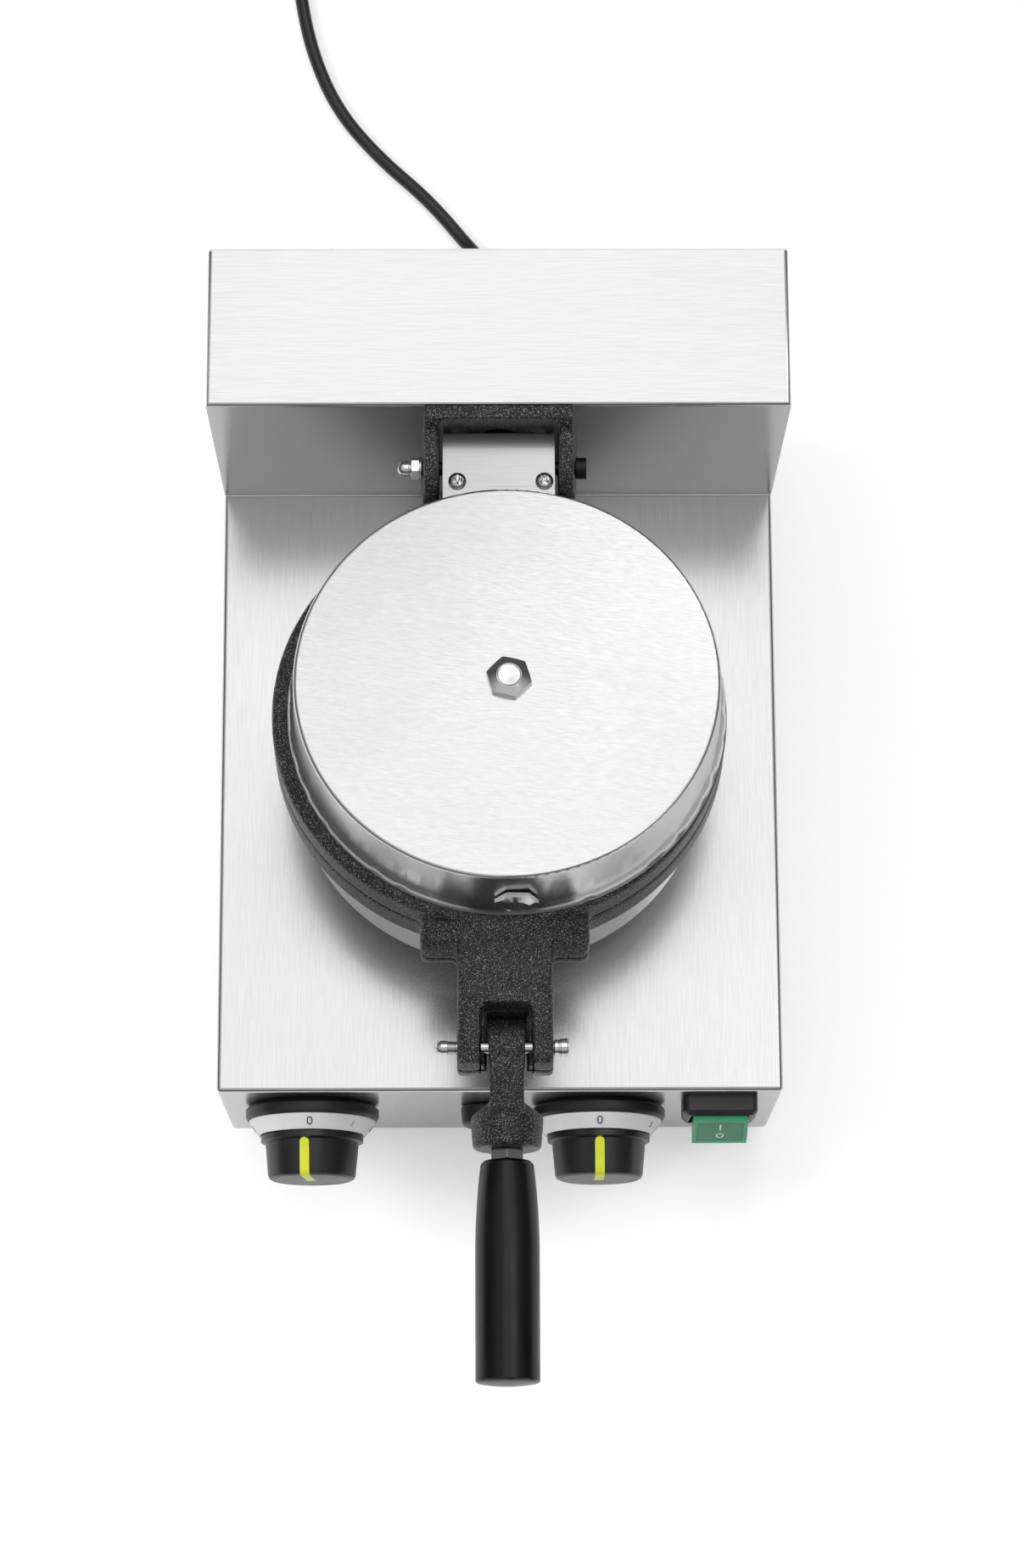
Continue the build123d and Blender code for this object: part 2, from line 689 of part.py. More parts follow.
def lower_casting():
    edge = 2.5
    rim = turned([(0, lower_low), (casting_radius - edge, lower_low), (casting_radius, lower_low + edge),
                  (casting_radius, lower_high), (0, lower_high)])
    bowl = flipped * turned(cavity_profile(bowl_wall))
    bowl = bowl & block(-100, 100, -100, 100, -100, lower_high)
    boss = rod(boss_radius + 3, lower_seat - cavity_depth - 1, Pos(0, 0, -lower_seat))
    flange, arm, slot = front_arm(-lower_high, -lower_low, lower_arm_height, lower_end_draft)
    under = aside * Location((0, 0, 0), (0, 180, 0)) * Pos(-2 * slot_aside, 0, 0)
    plain = aside * Location((0, 0, 0), (0, 180, 0))
    inside = flipped * turned(cavity_profile(0)) & block(-100, 100, -100, 100, -100, 1)
    body = fused(rim, bowl, boss, plain * flange, plain * arm)
    body = body - (under * slot) - inside - gutter(lower_high, -1)
    body = body - rod(5, 21.4, Pos(0, 0, -lower_seat - 4))
    body = body - bulb_place * rod(bulb_radius + 0.2, bulb_length + 2)
    return head * body


lower_cover_low = lower_low - lower_cover_height
lower_seat = -lower_cover_low - cover_sheet
bulb_radius = 3.0
bulb_length = 70.0
bulb_place = Location((-bulb_length / 2, 0, 0)) * Location(
    (0, cavity_radius + 9 + 20, lower_low + 5.0), (0, 90, 0))


def sensor_bulb():
    return head * bulb_place * rod(bulb_radius, bulb_length)


def cover_half(r, h, edge, foot):
    """The half section of one side of the sheet: foot points, wall, rounded top edge."""
    bulge = (r - edge + edge * cos(pi / 4), 0, h - edge + edge * sin(pi / 4))
    points = foot + [(r, 0, h - edge)]
    lines = [Line(a, b) for a, b in zip(points, points[1:])]
    lines += [ThreePointArc((r, 0, h - edge), bulge, (r - edge, 0, h)),
              Line((r - edge, 0, h), (0, 0, h)), Line((0, 0, h), foot[0])]
    return revolve(make_face(Wire(lines)), Axis.Z, 360)


def cover(height):
    """A pressed cover standing on zero: flat top, rounded edge, straight wall, flared lip."""
    r, e, t = cover_radius, cover_edge_radius, cover_sheet
    wall_foot = r + 1.2
    lip = cover_lip_radius
    outer = cover_half(r, height, e, [(0, 0, 0), (lip, 0, 0), (lip, 0, 0.8),
                                      (wall_foot, 0, cover_lip_height + 0.8)])
    inner = cover_half(r - t, height - t, e - t, [(0, 0, -1), (lip - 1.5, 0, -1), (lip - 1.5, 0, 0.2),
                                                  (wall_foot - t, 0, cover_lip_height)])
    return outer - inner


def upper_cover():
    shell = Pos(cover_aside, -cover_shift, upper_high + 0.1) * cover(cover_height - 0.1)
    shell = shell - rod(5.3, 10, Pos(bolt_x, -cover_shift, cover_seat - 5))
    shell = shell - head_front_bolt * rod(4.2, 20, Pos(0, 0, -10))
    wires = block(-12, 12, cover_radius - cover_shift - 8, cover_radius, hinge_arm_floor + 1,
                  hinge_arm_floor + 8)
    return head * (shell - wires)


def lower_cover():
    shell = Pos(0, 0, lower_low - 0.1) * flipped * cover(lower_cover_height - 0.1)
    hole = rod(5.3, 10, Pos(0, 0, lower_cover_low - 5))
    wires = rod(9.0, 10, Pos(0, 30, lower_cover_low - 5))
    return head * (shell - hole - wires)


def bolt(across_flats, head_height, shank_radius, shank_length, place, turn=0.0):
    return place * (hexagon(across_flats, head_height, turn=turn)
                    + rod(shank_radius, shank_length, Pos(0, 0, -shank_length)))


def cover_bolt():
    return bolt(cover_bolt_width, cover_bolt_head, 4.95, 12.0,
                head * Pos(bolt_x, -cover_shift, cover_top), turn=cover_bolt_turn)


def cover_front_bolt():
    return bolt(16.0, 3.6, 3.95, 12.0, head * head_front_bolt, turn=-4)


# Heaters

def heater():
    """A tubular ring with two straight tails, resting on z = 0."""
    r, t = heater_radius, heater_tube_radius
    ring = Pos(0, 0, t) * Torus(r, t)
    gap = radians(heater_opening)
    reach = 3 * r
    wedge = plan_plate([(0, 0), (reach * sin(gap / 2), reach * cos(gap / 2)),
                        (-reach * sin(gap / 2), reach * cos(gap / 2))], -1, 2 * t + 1)
    ring = ring - wedge
    for side in (-1, 1):
        foot = Location((side * r * sin(gap / 2), r * cos(gap / 2) - 1, t), (-90, 0, 0))
        ring = ring + rod(t, heater_tail, foot)
    return ring


bowl_top = cavity_depth + bowl_wall
clamp_level = bowl_top + 2 * heater_tube_radius + 2 * seat_gap
insulation_level = clamp_level + clamp_sheet + seat_gap


def clamp_disc(bore):
    return turned([(bore, 0), (clamp_radius, 0), (clamp_radius, clamp_sheet), (bore, clamp_sheet)])


def insulation_disc(bore, thickness):
    return turned([(bore, 0), (insulation_radius, 0), (insulation_radius, thickness), (bore, thickness)])


def upper_internals():
    shift = Pos(bolt_x, -cover_shift, 0)
    bore = boss_radius + 0.4
    keep("upper_heater", head * Pos(0, 0, bowl_top + seat_gap) * heater())
    keep("upper_heater_clamp", head * shift * Pos(0, 0, clamp_level) * clamp_disc(bore))
    keep("upper_insulation", head * shift * Pos(0, 0, insulation_level)
         * insulation_disc(bore, insulation_thickness))


def lower_internals():
    bore = boss_radius + 3.4
    under = head * flipped * Rot(0, 0, 180)
    keep("lower_heater", under * Pos(0, 0, bowl_top + seat_gap) * heater())
    keep("lower_heater_clamp", under * Pos(0, 0, clamp_level) * clamp_disc(bore))
    keep("lower_insulation", under * Pos(0, 0, insulation_level)
         * insulation_disc(bore, insulation_thickness + 4))


# Pedestal under the lower cover

pedestal_radius = 40.0
pedestal_wall = 5.0
pedestal_foot = 5.0
pedestal_screw_width = 8.0
pedestal_screw_head = 3.5
pedestal_screw_length = 10.0


def pedestal():
    y = front_y + head_back
    tall = head_lift + 60
    column = rod(pedestal_radius, tall) - rod(pedestal_radius - pedestal_wall, tall - 10, Pos(0, 0, -1))
    foot = rod(pedestal_flange_radius, pedestal_foot)
    bore = rod(pedestal_radius - pedestal_wall, pedestal_foot + 2, Pos(0, 0, -1))
    body = Pos(0, y, base_top) * ((column + foot) - bore)
    for x, by in pedestal_bolts:
        body = body - rod(pedestal_bolt_radius + 0.2, 12, Pos(x, by, base_top - 1))
    above = head * block(-200, 200, -200, 200, lower_cover_low, lower_cover_low + 300)
    seat = head * rod(pedestal_radius - 1, 4, Pos(0, 0, lower_cover_low - 4))
    body = (body - above) + (seat & (Pos(0, y, base_top) * rod(pedestal_radius, tall)))
    body = body - head * rod(5.3, 30, Pos(0, 0, lower_cover_low - 15))
    return body - head * rod(8.0, 30, Pos(0, 25, lower_cover_low - 15))


def pedestal_fixings():
    return Compound([bolt(pedestal_screw_width, pedestal_screw_head, pedestal_bolt_radius,
                          pedestal_screw_length, Pos(x, y, base_top + pedestal_foot))
                     for x, y in pedestal_bolts])


def pedestal_centre_bolt():
    return bolt(16.0, 6.4, 4.95, 22.0, head * Location((0, 0, lower_cover_low - 4), (180, 0, 0)))


# Hinge bracket on the column

def hinge_bracket():
    top = column_top + bracket_top_step
    nose = column_y - hinge_y + bracket_nose
    z_axis = hinge_z
    arm_top = z_axis + bracket_arm_rise
    outline = [(column_y, bracket_bottom), (column_y, top), (column_y - bracket_crossbar, top),
               (column_y - bracket_crossbar - bracket_ramp, arm_top), (column_y - nose, arm_top),
               (column_y - nose, z_axis - 8), (column_y - nose + 10, z_axis - 18),
               (column_y - 9, bracket_bottom + 6), (column_y - 9, bracket_bottom)]
    wide = side_plate(outline, bracket_bottom_width)
    wide = fillet(edges_at(wide, Axis.X, (0, column_y - nose, arm_top)), bracket_nose_round)
    wide = fillet(edges_at(wide, Axis.X, (0, column_y - nose, z_axis - 8)), 5.0)
    t2, b2 = bracket_top_width / 2, bracket_bottom_width / 2
    front = Polyline((-b2, column_y + 5, bracket_bottom), (b2, column_y + 5, bracket_bottom),
                     (t2, column_y + 5, top), (-t2, column_y + 5, top), close=True)
    drafted = extrude(make_face(front), 90, dir=(0, -1, 0))
    body = wide & drafted
    g2 = bracket_gap / 2
    gap = block(-g2, g2, column_y - nose - 5, column_y - bracket_crossbar, bracket_bottom - 5, top + 5)
    gap = fillet(edges_at(gap, Axis.Z, (-g2, column_y - bracket_crossbar, top),
                          (g2, column_y - bracket_crossbar, top)), 3.5)
    body = body - gap
    body = body - rod(hinge_bolt_radius + 0.05, 120, Location((-60, hinge_y, hinge_z), (0, 90, 0)))
    body = body - rod(7, 20, Location((0, column_y + 5, bracket_wire_z), (90, 0, 0)))
    for x, z in bracket_screws:
        body = body - rod(bracket_screw_radius, 20, Location((x, column_y + 5, z), (90, 0, 0)))
    return body


def bracket_fixings():
    """Hexagon bolts from inside the column, threaded into the bracket."""
    return Compound([bolt(10.0, 4.0, bracket_screw_radius - 0.02, sheet + bracket_crossbar - 0.5,
                          Location((x, column_y + sheet, z), (-90, 0, 0)))
                     for x, z in bracket_screws])


def at_hinge(x, facing):
    """A frame on the hinge axis whose Z points along X, either way."""
    return Location((x, hinge_y, hinge_z), (0, 90 * facing, 0))


def bracket_half_width(z):
    share = (column_top + bracket_top_step - z) / bracket_height
    return (bracket_top_width + (bracket_bottom_width - bracket_top_width) * share) / 2


hinge_face = bracket_half_width(hinge_z - 5) + 0.1
washer_height = 1.0


def hinge_bolt():
    head_height = 4.6
    place = at_hinge(hinge_face, 1)
    cap = rod(4.6, head_height) - Pos(0, 0, head_height - 2.4) * extrude(RegularPolygon(2.6, 6), 4)
    shank = rod(hinge_bolt_radius, 2 * hinge_face + 9.0, Pos(0, 0, -2 * hinge_face - 9.0))
    return place * (cap + shank)


def hinge_washer():
    bore = hinge_bolt_radius + 0.02
    return at_hinge(-hinge_face, -1) * turned([(bore, 0), (5.0, 0), (5.0, washer_height),
                                               (bore, washer_height)])


def dome_nut(across_flats, nut_height, dome_radius, dome_height, bore, bore_depth, place):
    nut = hexagon(across_flats, nut_height)
    dome = turned([(0, 0), (dome_radius, 0), (dome_radius, nut_height + dome_height * 0.35),
                   (dome_radius * 0.86, nut_height + dome_height * 0.7),
                   (dome_radius * 0.5, nut_height + dome_height * 0.94), (0, nut_height + dome_height)])
    return place * ((nut + dome) - rod(bore, bore_depth + 1, Pos(0, 0, -1)))


def hinge_dome_nut():
    return dome_nut(9.0, 4.0, 3.9, 6.0, hinge_bolt_radius + 0.02, 8.2,
                    at_hinge(-hinge_face - washer_height, -1))


# Lever

def lever():
    w2 = tongue_width / 2
    barrel = rod(tongue_radius, tongue_width, Location((-w2, 0, 0), (0, 90, 0)))
    n2 = neck_height / 2
    root = collar_width / 2 - 1.6
    neck = side_plate([(0, -n2), (0, n2), (-tongue_radius, n2 + 0.4), (-collar_start, root),
                       (-collar_start - 2, root), (-collar_start - 2, -root), (-collar_start, -root),
                       (-tongue_radius, -n2 - 0.4)], neck_width / 2)
    cam = side_plate([(4, 0), (-5, 0), (-6.5, -cam_reach + 4), (-3.5, -cam_reach),
                      (1.5, -cam_reach), (4, -cam_reach + 5)], w2 - 1)
    wide, end = collar_width / 2, collar_end - flare_start
    start = collar_start - flare_start
    collar = turned([(0, 0), (w2 - 0.4, 0), (wide - 0.5, start - 0.6), (wide, start + 0.6),
                     (wide - 0.9, end - 0.9), (wide - 1.8, end), (0, end)],
                    Location((0, -flare_start, 0), (90, 0, 0)))
    body = fused(barrel, neck, cam, collar)
    body = body - rod(lever_pin_radius + running_gap, 40, Location((-20, 0, 0), (0, 90, 0)))
    body = body - rod(grip_stud_radius - 0.05, 16, Location((0, -collar_end - 1, 0), (-90, 0, 0)))
    return lever_frame * body


def grip_stud():
    start, end = collar_end - 13, grip_start + 40
    place = lever_frame * Location((0, -start, 0), (90, 0, 0))
    return rod(grip_stud_radius - 0.05 - fit_gap, end - start, place)


def grip_nut():
    place = lever_frame * Location((0, -collar_end - 0.2, 0), (90, 0, 0))
    nut = hexagon(grip_nut_width, grip_nut_height, turn=30)
    return place * (nut - rod(grip_stud_radius, 20, Pos(0, 0, -1)))


def grip():
    """The moulded grip: narrow at the nut, swelling, then straight to a slightly domed end."""
    place = lever_frame * Location((0, -grip_start, 0), (90, 0, 0))
    r0, r1, n = grip_start_radius, grip_radius, grip_length
    swell = grip_swell - 1.2
    swell_arc = ((r1 - r0) ** 2 + swell ** 2) / (2 * (r1 - r0))
    swell_middle = r1 - swell_arc + sqrt(swell_arc ** 2 - (swell / 2) ** 2)
    rim = r1 - 0.8
    dome_arc = (rim ** 2 + grip_dome ** 2) / (2 * grip_dome)
    dome_middle = n + grip_dome - dome_arc + sqrt(dome_arc ** 2 - (rim / 2) ** 2)
    outline = [Line((0, 0, 0), (r0 - 1.2, 0, 0)),
               Line((r0 - 1.2, 0, 0), (r0, 0, 1.2)),
               ThreePointArc((r0, 0, 1.2), (swell_middle, 0, 1.2 + swell / 2), (r1, 0, grip_swell)),
               Line((r1, 0, grip_swell), (r1, 0, n - 0.8)),
               Line((r1, 0, n - 0.8), (rim, 0, n)),
               ThreePointArc((rim, 0, n), (rim / 2, 0, dome_middle), (0, 0, n + grip_dome)),
               Line((0, 0, n + grip_dome), (0, 0, 0))]
    body = revolve(make_face(Wire(outline)), Axis.Z, 360)
    return place * (body - rod(grip_stud_radius, 42, Pos(0, 0, -1)))


def at_pin(x, facing):
    return head * Location((arm_aside + x, -pin_forward, pin_rise), (0, 90 * facing, 0))


pin_face = arm_width / 2 + 0.15
pin_shoulder_height = 2.2
pin_head_height = 3.8
pin_stand_out = 3.8


def lever_pin():
    """The pin with its head and the shoulder that bears on the fork."""
    shank = rod(lever_pin_radius, 2 * pin_face + pin_stand_out + 3.5,
                Pos(0, 0, -2 * pin_face - pin_stand_out - 3.5))
    shoulder = rod(3.3, pin_shoulder_height)
    cap = rod(3.6, pin_head_height, Pos(0, 0, pin_shoulder_height))
    return at_pin(pin_face, 1) * fused(shank, shoulder, cap)


def lever_pin_cap():
    place = at_pin(-pin_face - pin_stand_out, -1)
    return place * (turned([(0, 0), (3.0, 0), (3.0, 2.4), (2.4, 4.2), (1.3, 5.2), (0, 5.5)])
                    - rod(lever_pin_radius + 0.02, 4.5, Pos(0, 0, -1)))


# Cord, coil and plug

cord_level = cord_radius
layer_rise = coil_step
cord_exit = (gland_x, rear_y + rear_sheet + gland_length, gland_z)
floor_run = [(-10.5, 91.5), (-33.0, 120.0), (-58.0, 142.5), (-79.5, 168.5), (-92.5, 199.5),
             (-99.0, 231.5), (coil_x, 264.5), (coil_x, coil_behind)]
cord_route = [cord_exit, (gland_x, rear_y + 45.5, gland_z), (3.0, rear_y + 71.5, 24.0)]
cord_route += [(x, rear_y + behind, cord_level) for x, behind in floor_run]


def corner_radii(points):
    """For each corner, the largest arc that its two runs allow."""
    radii = []
    for a, b, c in zip(points, points[1:], points[2:]):
        one, two = Vector(*b) - Vector(*a), Vector(*c) - Vector(*b)
        turn = one.get_angle(two)
        radii.append(0.45 * min(one.length, two.length) / tan(radians(turn / 2)))
    return radii


def tube(points, label):
    radii = corner_radii(points)
    path = FilletPolyline(*points, radius=radii)
    start = Vector(*points[1]) - Vector(*points[0])
    section = Plane(origin=points[0], z_dir=start) * Circle(cord_radius)
    body = sweep(section, path=path)
    print(label, "length", round(path.length, 1), "radii", [round(r) for r in radii],
          "volume ratio", round(body.volume / (pi * cord_radius ** 2 * path.length), 4))
    return body


def coil_path():
    """Half turns that spiral in on the floor, climb once, and spiral out on top."""
    x, y = coil_x, rear_y + coil_behind
    z, radius, side = cord_level, coil_radius, 1
    arcs = []
    for i in range(2 * coil_half_turns):
        climb = layer_rise if i == coil_half_turns else 0.0
        end_x = x + side * 2 * radius
        middle = ((x + end_x) / 2, y + side * sqrt(radius ** 2 + (climb / 2) ** 2), z + climb / 2)
        arcs.append(ThreePointArc((x, y, z), middle, (end_x, y, z + climb)))
        x, z, side = end_x, z + climb, -side
        radius += coil_step / 2 if i >= coil_half_turns else -coil_step / 2
    return Wire(arcs), (x, y, z)


def least_self_gap(path, diameter, skip):
    """The least surface gap between two points of the path that are further apart along it."""
    count = 600
    points = [path.position_at(i / count) for i in range(count + 1)]
    step = path.length / count
    near = ceil(skip / step)
    least = 1e9
    for i, p in enumerate(points):
        for q in points[i + near:]:
            least = min(least, (p - q).length)
    return least - diameter


def cord_coil():
    path, end = coil_path()
    start = Plane(origin=cord_route[-1], z_dir=(0, 1, 0))
    section = start * Circle(cord_radius)
    body = sweep(section, path=path)
    print("coil length", round(path.length, 1), "volume ratio",
          round(body.volume / (pi * cord_radius ** 2 * path.length), 4),
          "least self gap", round(least_self_gap(path, 2 * cord_radius, 40), 2))
    return body, end


plug_radius = 18.0
plug_length = 40.0
plug_turn = 32.0


def plug_frame():
    """The plug lies on the floor beside the coil, its nose pointing away and outward."""
    x, y, z = coil_end
    return Location((x - 17.0, y + 46.0, plug_radius + 0.2)) * Rot(0, 0, plug_turn) * Rot(-90, 0, 0)


def plug_lead():
    x, y, z = coil_end
    frame = plug_frame()
    tip = frame.position
    out = Vector(sin(radians(plug_turn)), -cos(radians(plug_turn)), 0)
    neck = tip + out * 16
    points = [(x, y, z), (x, y + 13.0, z), (neck.X, neck.Y, tip.Z), (tip.X, tip.Y, tip.Z)]
    return tube(points, "plug lead")


def power_plug():
    collar = 14.0
    profile = [(0, 0), (6.0, 0), (7.5, collar), (13.0, collar + 5), (plug_radius, collar + 12),
               (plug_radius, plug_length + collar), (plug_radius - 1.0, plug_length + collar + 1),
               (0, plug_length + collar + 1)]
    body = turned(profile)
    for side in (-1, 1):
        body = body - Pos(side * plug_radius, 0, plug_length + 8) * Box(5.0, 6.0, 34.0)
    return plug_frame() * body


def plug_pins():
    level = plug_length + 15.0
    pin = turned([(0, 0), (2.4, 0), (2.4, 17.5), (1.4, 19.0), (0, 19.0)])
    return Compound([plug_frame() * Pos(0, side * 9.5, level) * pin for side in (-1, 1)])


def cable_gland():
    place = Location((gland_x, rear_y + rear_sheet, gland_z), (-90, 0, 0))
    nut = hexagon(19.0, 6.0)
    cone = turned([(0, 5.0), (8.4, 5.0), (8.2, 12.0), (6.2, gland_length - 8),
                   (4.6, gland_length), (0, gland_length)])
    stem = rod(gland_stem, 12.0, Pos(0, 0, -11.0))
    return place * ((nut + cone + stem) - rod(cord_radius + 0.1, 14, Pos(0, 0, -12)))


keep("base_shell", base_shell())
keep("column_shell", column_shell())
keep("rear_panel", rear_panel())
keep("rear_panel_screws", panel_fixings())
keep("bottom_plate", bottom_plate())
keep("bottom_plate_screws", plate_fixings())
keep("rubber_feet", feet())
keep("foot_screws", foot_screws())
for name, x, angle, size in (("thermostat", thermostat_x, thermostat_pointer_angle, (38, 34, 26)),
                             ("timer", timer_x, timer_pointer_angle, (46, 46, 34))):
    keep(name + "_body", control_body(x, *size))
    keep(name + "_bezel", knob_bezel(x))
    keep(name + "_dial", dial_ring(x))
    keep(name + "_spindle", spindle(x))
    keep(name + "_knob", knob(x, angle))
    keep(name + "_pointer", knob_pointer(x, angle))
keep("lamp_bezel", lamp_bezel())
keep("lamp_lens", lamp_lens())
keep("rocker_frame", rocker_frame())
keep("rocker_button", rocker_button())
keep("terminal_block", terminal_block())
keep("pedestal", pedestal())
keep("pedestal_screws", pedestal_fixings())
keep("pedestal_centre_bolt", pedestal_centre_bolt())
keep("lower_cover", lower_cover())
lower_internals()
keep("lower_casting", lower_casting())
keep("sensor_bulb", sensor_bulb())
keep("upper_casting", upper_casting())
upper_internals()
keep("upper_cover", upper_cover())
keep("cover_bolt", cover_bolt())
keep("cover_front_bolt", cover_front_bolt())
keep("hinge_plate", hinge_plate())
keep("hinge_plate_screws", hinge_plate_screws())
keep("hinge_bracket", hinge_bracket())
keep("bracket_bolts", bracket_fixings())
keep("hinge_bolt", hinge_bolt())
keep("hinge_washer", hinge_washer())
keep("hinge_dome_nut", hinge_dome_nut())
keep("lever", lever())
keep("lever_pin", lever_pin())
keep("lever_pin_cap", lever_pin_cap())
keep("grip_stud", grip_stud())
keep("grip_nut", grip_nut())
keep("grip", grip())
keep("cable_gland", cable_gland())
keep("power_cord", tube(cord_route, "cord"))
coil_body, coil_end = cord_coil()
keep("cord_coil", coil_body)
keep("plug_lead", plug_lead())
keep("power_plug", power_plug())
keep("plug_pins", plug_pins())

os.makedirs("parts", exist_ok=True)
for name, shape in nodes.items():
    export_step(shape, "parts/" + name + ".step")

print("nodes", len(nodes))
print("front panel y", round(front_y, 3), "rear y", round(rear_y, 3), "column y", round(column_y, 3))
print("hinge axis y, z", round(hinge_y, 4), round(hinge_z, 4))
pin = lever_frame.position
print("lever pin y, z", round(pin.Y, 4), round(pin.Z, 4))
print("control z", round(control_z, 3), "rocker z", round(rocker_z, 3))
print("joint centre y, z", round(head.position.Y, 3), round(head.position.Z, 3))
print("coil end", [round(c, 2) for c in coil_end])
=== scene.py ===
import json
import math
import bpy
from mathutils import Matrix, Vector


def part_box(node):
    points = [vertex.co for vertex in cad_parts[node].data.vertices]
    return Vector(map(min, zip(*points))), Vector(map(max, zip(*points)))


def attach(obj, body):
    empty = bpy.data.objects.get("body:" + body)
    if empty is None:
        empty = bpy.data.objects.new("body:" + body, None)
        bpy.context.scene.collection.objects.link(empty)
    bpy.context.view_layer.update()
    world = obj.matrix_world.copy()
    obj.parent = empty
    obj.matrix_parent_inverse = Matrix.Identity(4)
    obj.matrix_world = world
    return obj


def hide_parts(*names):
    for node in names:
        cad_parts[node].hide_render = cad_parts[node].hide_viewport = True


# Burger sealing press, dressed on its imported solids. Metres, Z up, front towards -Y.

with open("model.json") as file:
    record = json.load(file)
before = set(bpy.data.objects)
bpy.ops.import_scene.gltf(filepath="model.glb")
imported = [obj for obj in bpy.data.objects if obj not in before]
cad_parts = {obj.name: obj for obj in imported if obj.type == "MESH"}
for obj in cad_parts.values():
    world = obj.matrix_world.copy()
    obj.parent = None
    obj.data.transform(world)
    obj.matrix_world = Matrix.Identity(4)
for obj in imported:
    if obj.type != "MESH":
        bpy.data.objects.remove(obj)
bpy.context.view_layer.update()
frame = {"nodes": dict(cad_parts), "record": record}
nodes = frame["nodes"]
mm = 0.001

# places that the source names or works out, in millimetres
place = {
    "frontY": -114.351,
    "columnY": 161.349,
    "baseTop": 118.8,
    "headY": 31.249,
    "headZ": 201.2,
    "headTilt": 9.5,
    "hingeY": 139.011,
    "hingeZ": 224.129,
    "pinY": -113.896,
    "pinZ": 230.558,
    "leverDrop": 8.0,
    "controlZ": 76.6,
    "rockerX": 98.0,
    "rockerZ": 95.5,
    "thermostatX": -84.5,
    "timerX": 44.5,
    "armAside": 2.0,         # the fork stands this far to the right of the head's middle
    "coverAside": 3.2,
    "boltAside": 4.0,        # the bolt in the middle of the cover
    "coverBack": -0.2,
    "coverTop": 48.0,        # above the joint between the castings
    "slotAside": 2.6,        # middle of the slot in the fork
    "pinAhead": -148.0,
    "pinRise": 5.0,
}

# frames of the leaning head, the lever, the hinge and the front panel
headFrame = Matrix.Translation((0, place["headY"] * mm, place["headZ"] * mm)) @ Matrix.Rotation(
    math.radians(-place["headTilt"]), 4, "X")
leverFrame = Matrix.Translation((0, place["pinY"] * mm, place["pinZ"] * mm)) @ Matrix.Rotation(
    math.radians(place["leverDrop"] - place["headTilt"]), 4, "X")


def pinFrame(x, facing):  # on the lever pin, local Z outwards to that side
    spot = ((place["armAside"] + x) * mm, place["pinAhead"] * mm, place["pinRise"] * mm)
    return headFrame @ Matrix.Translation(spot) @ Matrix.Rotation(math.radians(90 * facing), 4, "Y")


def panelFrame(x, z):  # local Z points out of the front panel, local Y up
    spot = (x * mm, place["frontY"] * mm, z * mm)
    return Matrix.Translation(spot) @ Matrix.Rotation(math.radians(90), 4, "X")


def hexToLinear(code, alpha=1.0):
    parts = [int(code[i:i + 2], 16) / 255 for i in (1, 3, 5)]
    return tuple(p / 12.92 if p <= 0.04045 else ((p + 0.055) / 1.055) ** 2.4 for p in parts) + (alpha,)


def addObject(name, data):
    thing = bpy.data.objects.new(name, data)
    bpy.context.scene.collection.objects.link(thing)
    return thing


def selectOnly(piece):
    bpy.ops.object.select_all(action="DESELECT")
    piece.select_set(True)
    bpy.context.view_layer.objects.active = piece


def addNode(tree, kind, settings=None, links=None):
    node = tree.nodes.new(kind)
    for name, value in (settings or {}).items():
        if isinstance(name, int) or name in node.inputs:
            node.inputs[name].default_value = value
        else:
            setattr(node, name, value)
    for name, source in (links or {}).items():
        tree.links.new(source, node.inputs[name])
    return node


def newMaterial(name):
    material = bpy.data.materials.new(name)
    material.use_nodes = True
    tree = material.node_tree
    tree.nodes.clear()
    shader = addNode(tree, "ShaderNodeBsdfPrincipled")
    addNode(tree, "ShaderNodeOutputMaterial", {}, {"Surface": shader.outputs[0]})
    coords = addNode(tree, "ShaderNodeTexCoord")
    return material, tree, shader, coords.outputs


def finishSurface(tree, shader, hexCodes, facts, tone, gloss, height):
    # what every surface has: its colours spread over a tone, an uneven gloss and a fine relief
    colour = addNode(tree, "ShaderNodeValToRGB", {}, {"Fac": tone})
    if len(hexCodes) > 2:  # a new ramp has two stops
        colour.color_ramp.elements.new(0.5)
    for stop, spot, code in zip(colour.color_ramp.elements, facts["tones"], hexCodes):
        stop.position, stop.color = spot, hexToLinear(code)
    spans = zip(("From Min", "From Max", "To Min", "To Max"), facts["noise"] + facts["rough"])
    rough = addNode(tree, "ShaderNodeMapRange", dict(spans), {"Value": gloss})
    bump = addNode(tree, "ShaderNodeBump", {"Strength": facts["relief"], "Distance": facts["depth"] * mm},
                   {"Height": height})
    for socket, source in (("Base Color", colour), ("Roughness", rough), ("Normal", bump)):
        tree.links.new(source.outputs[0], shader.inputs[socket])


# Camera, matched to the photograph: 1.7 m away, looking 76 degrees down

camera = {
    "place": (-4.299, -381.824, 1800.480),
    "elevation": 76.3955,
    "azimuth": 1.239,
    "roll": 1.0722,
    "focalPixels": 4538.25,
    "imageHeight": 1848,
    "sensor": 36,
}


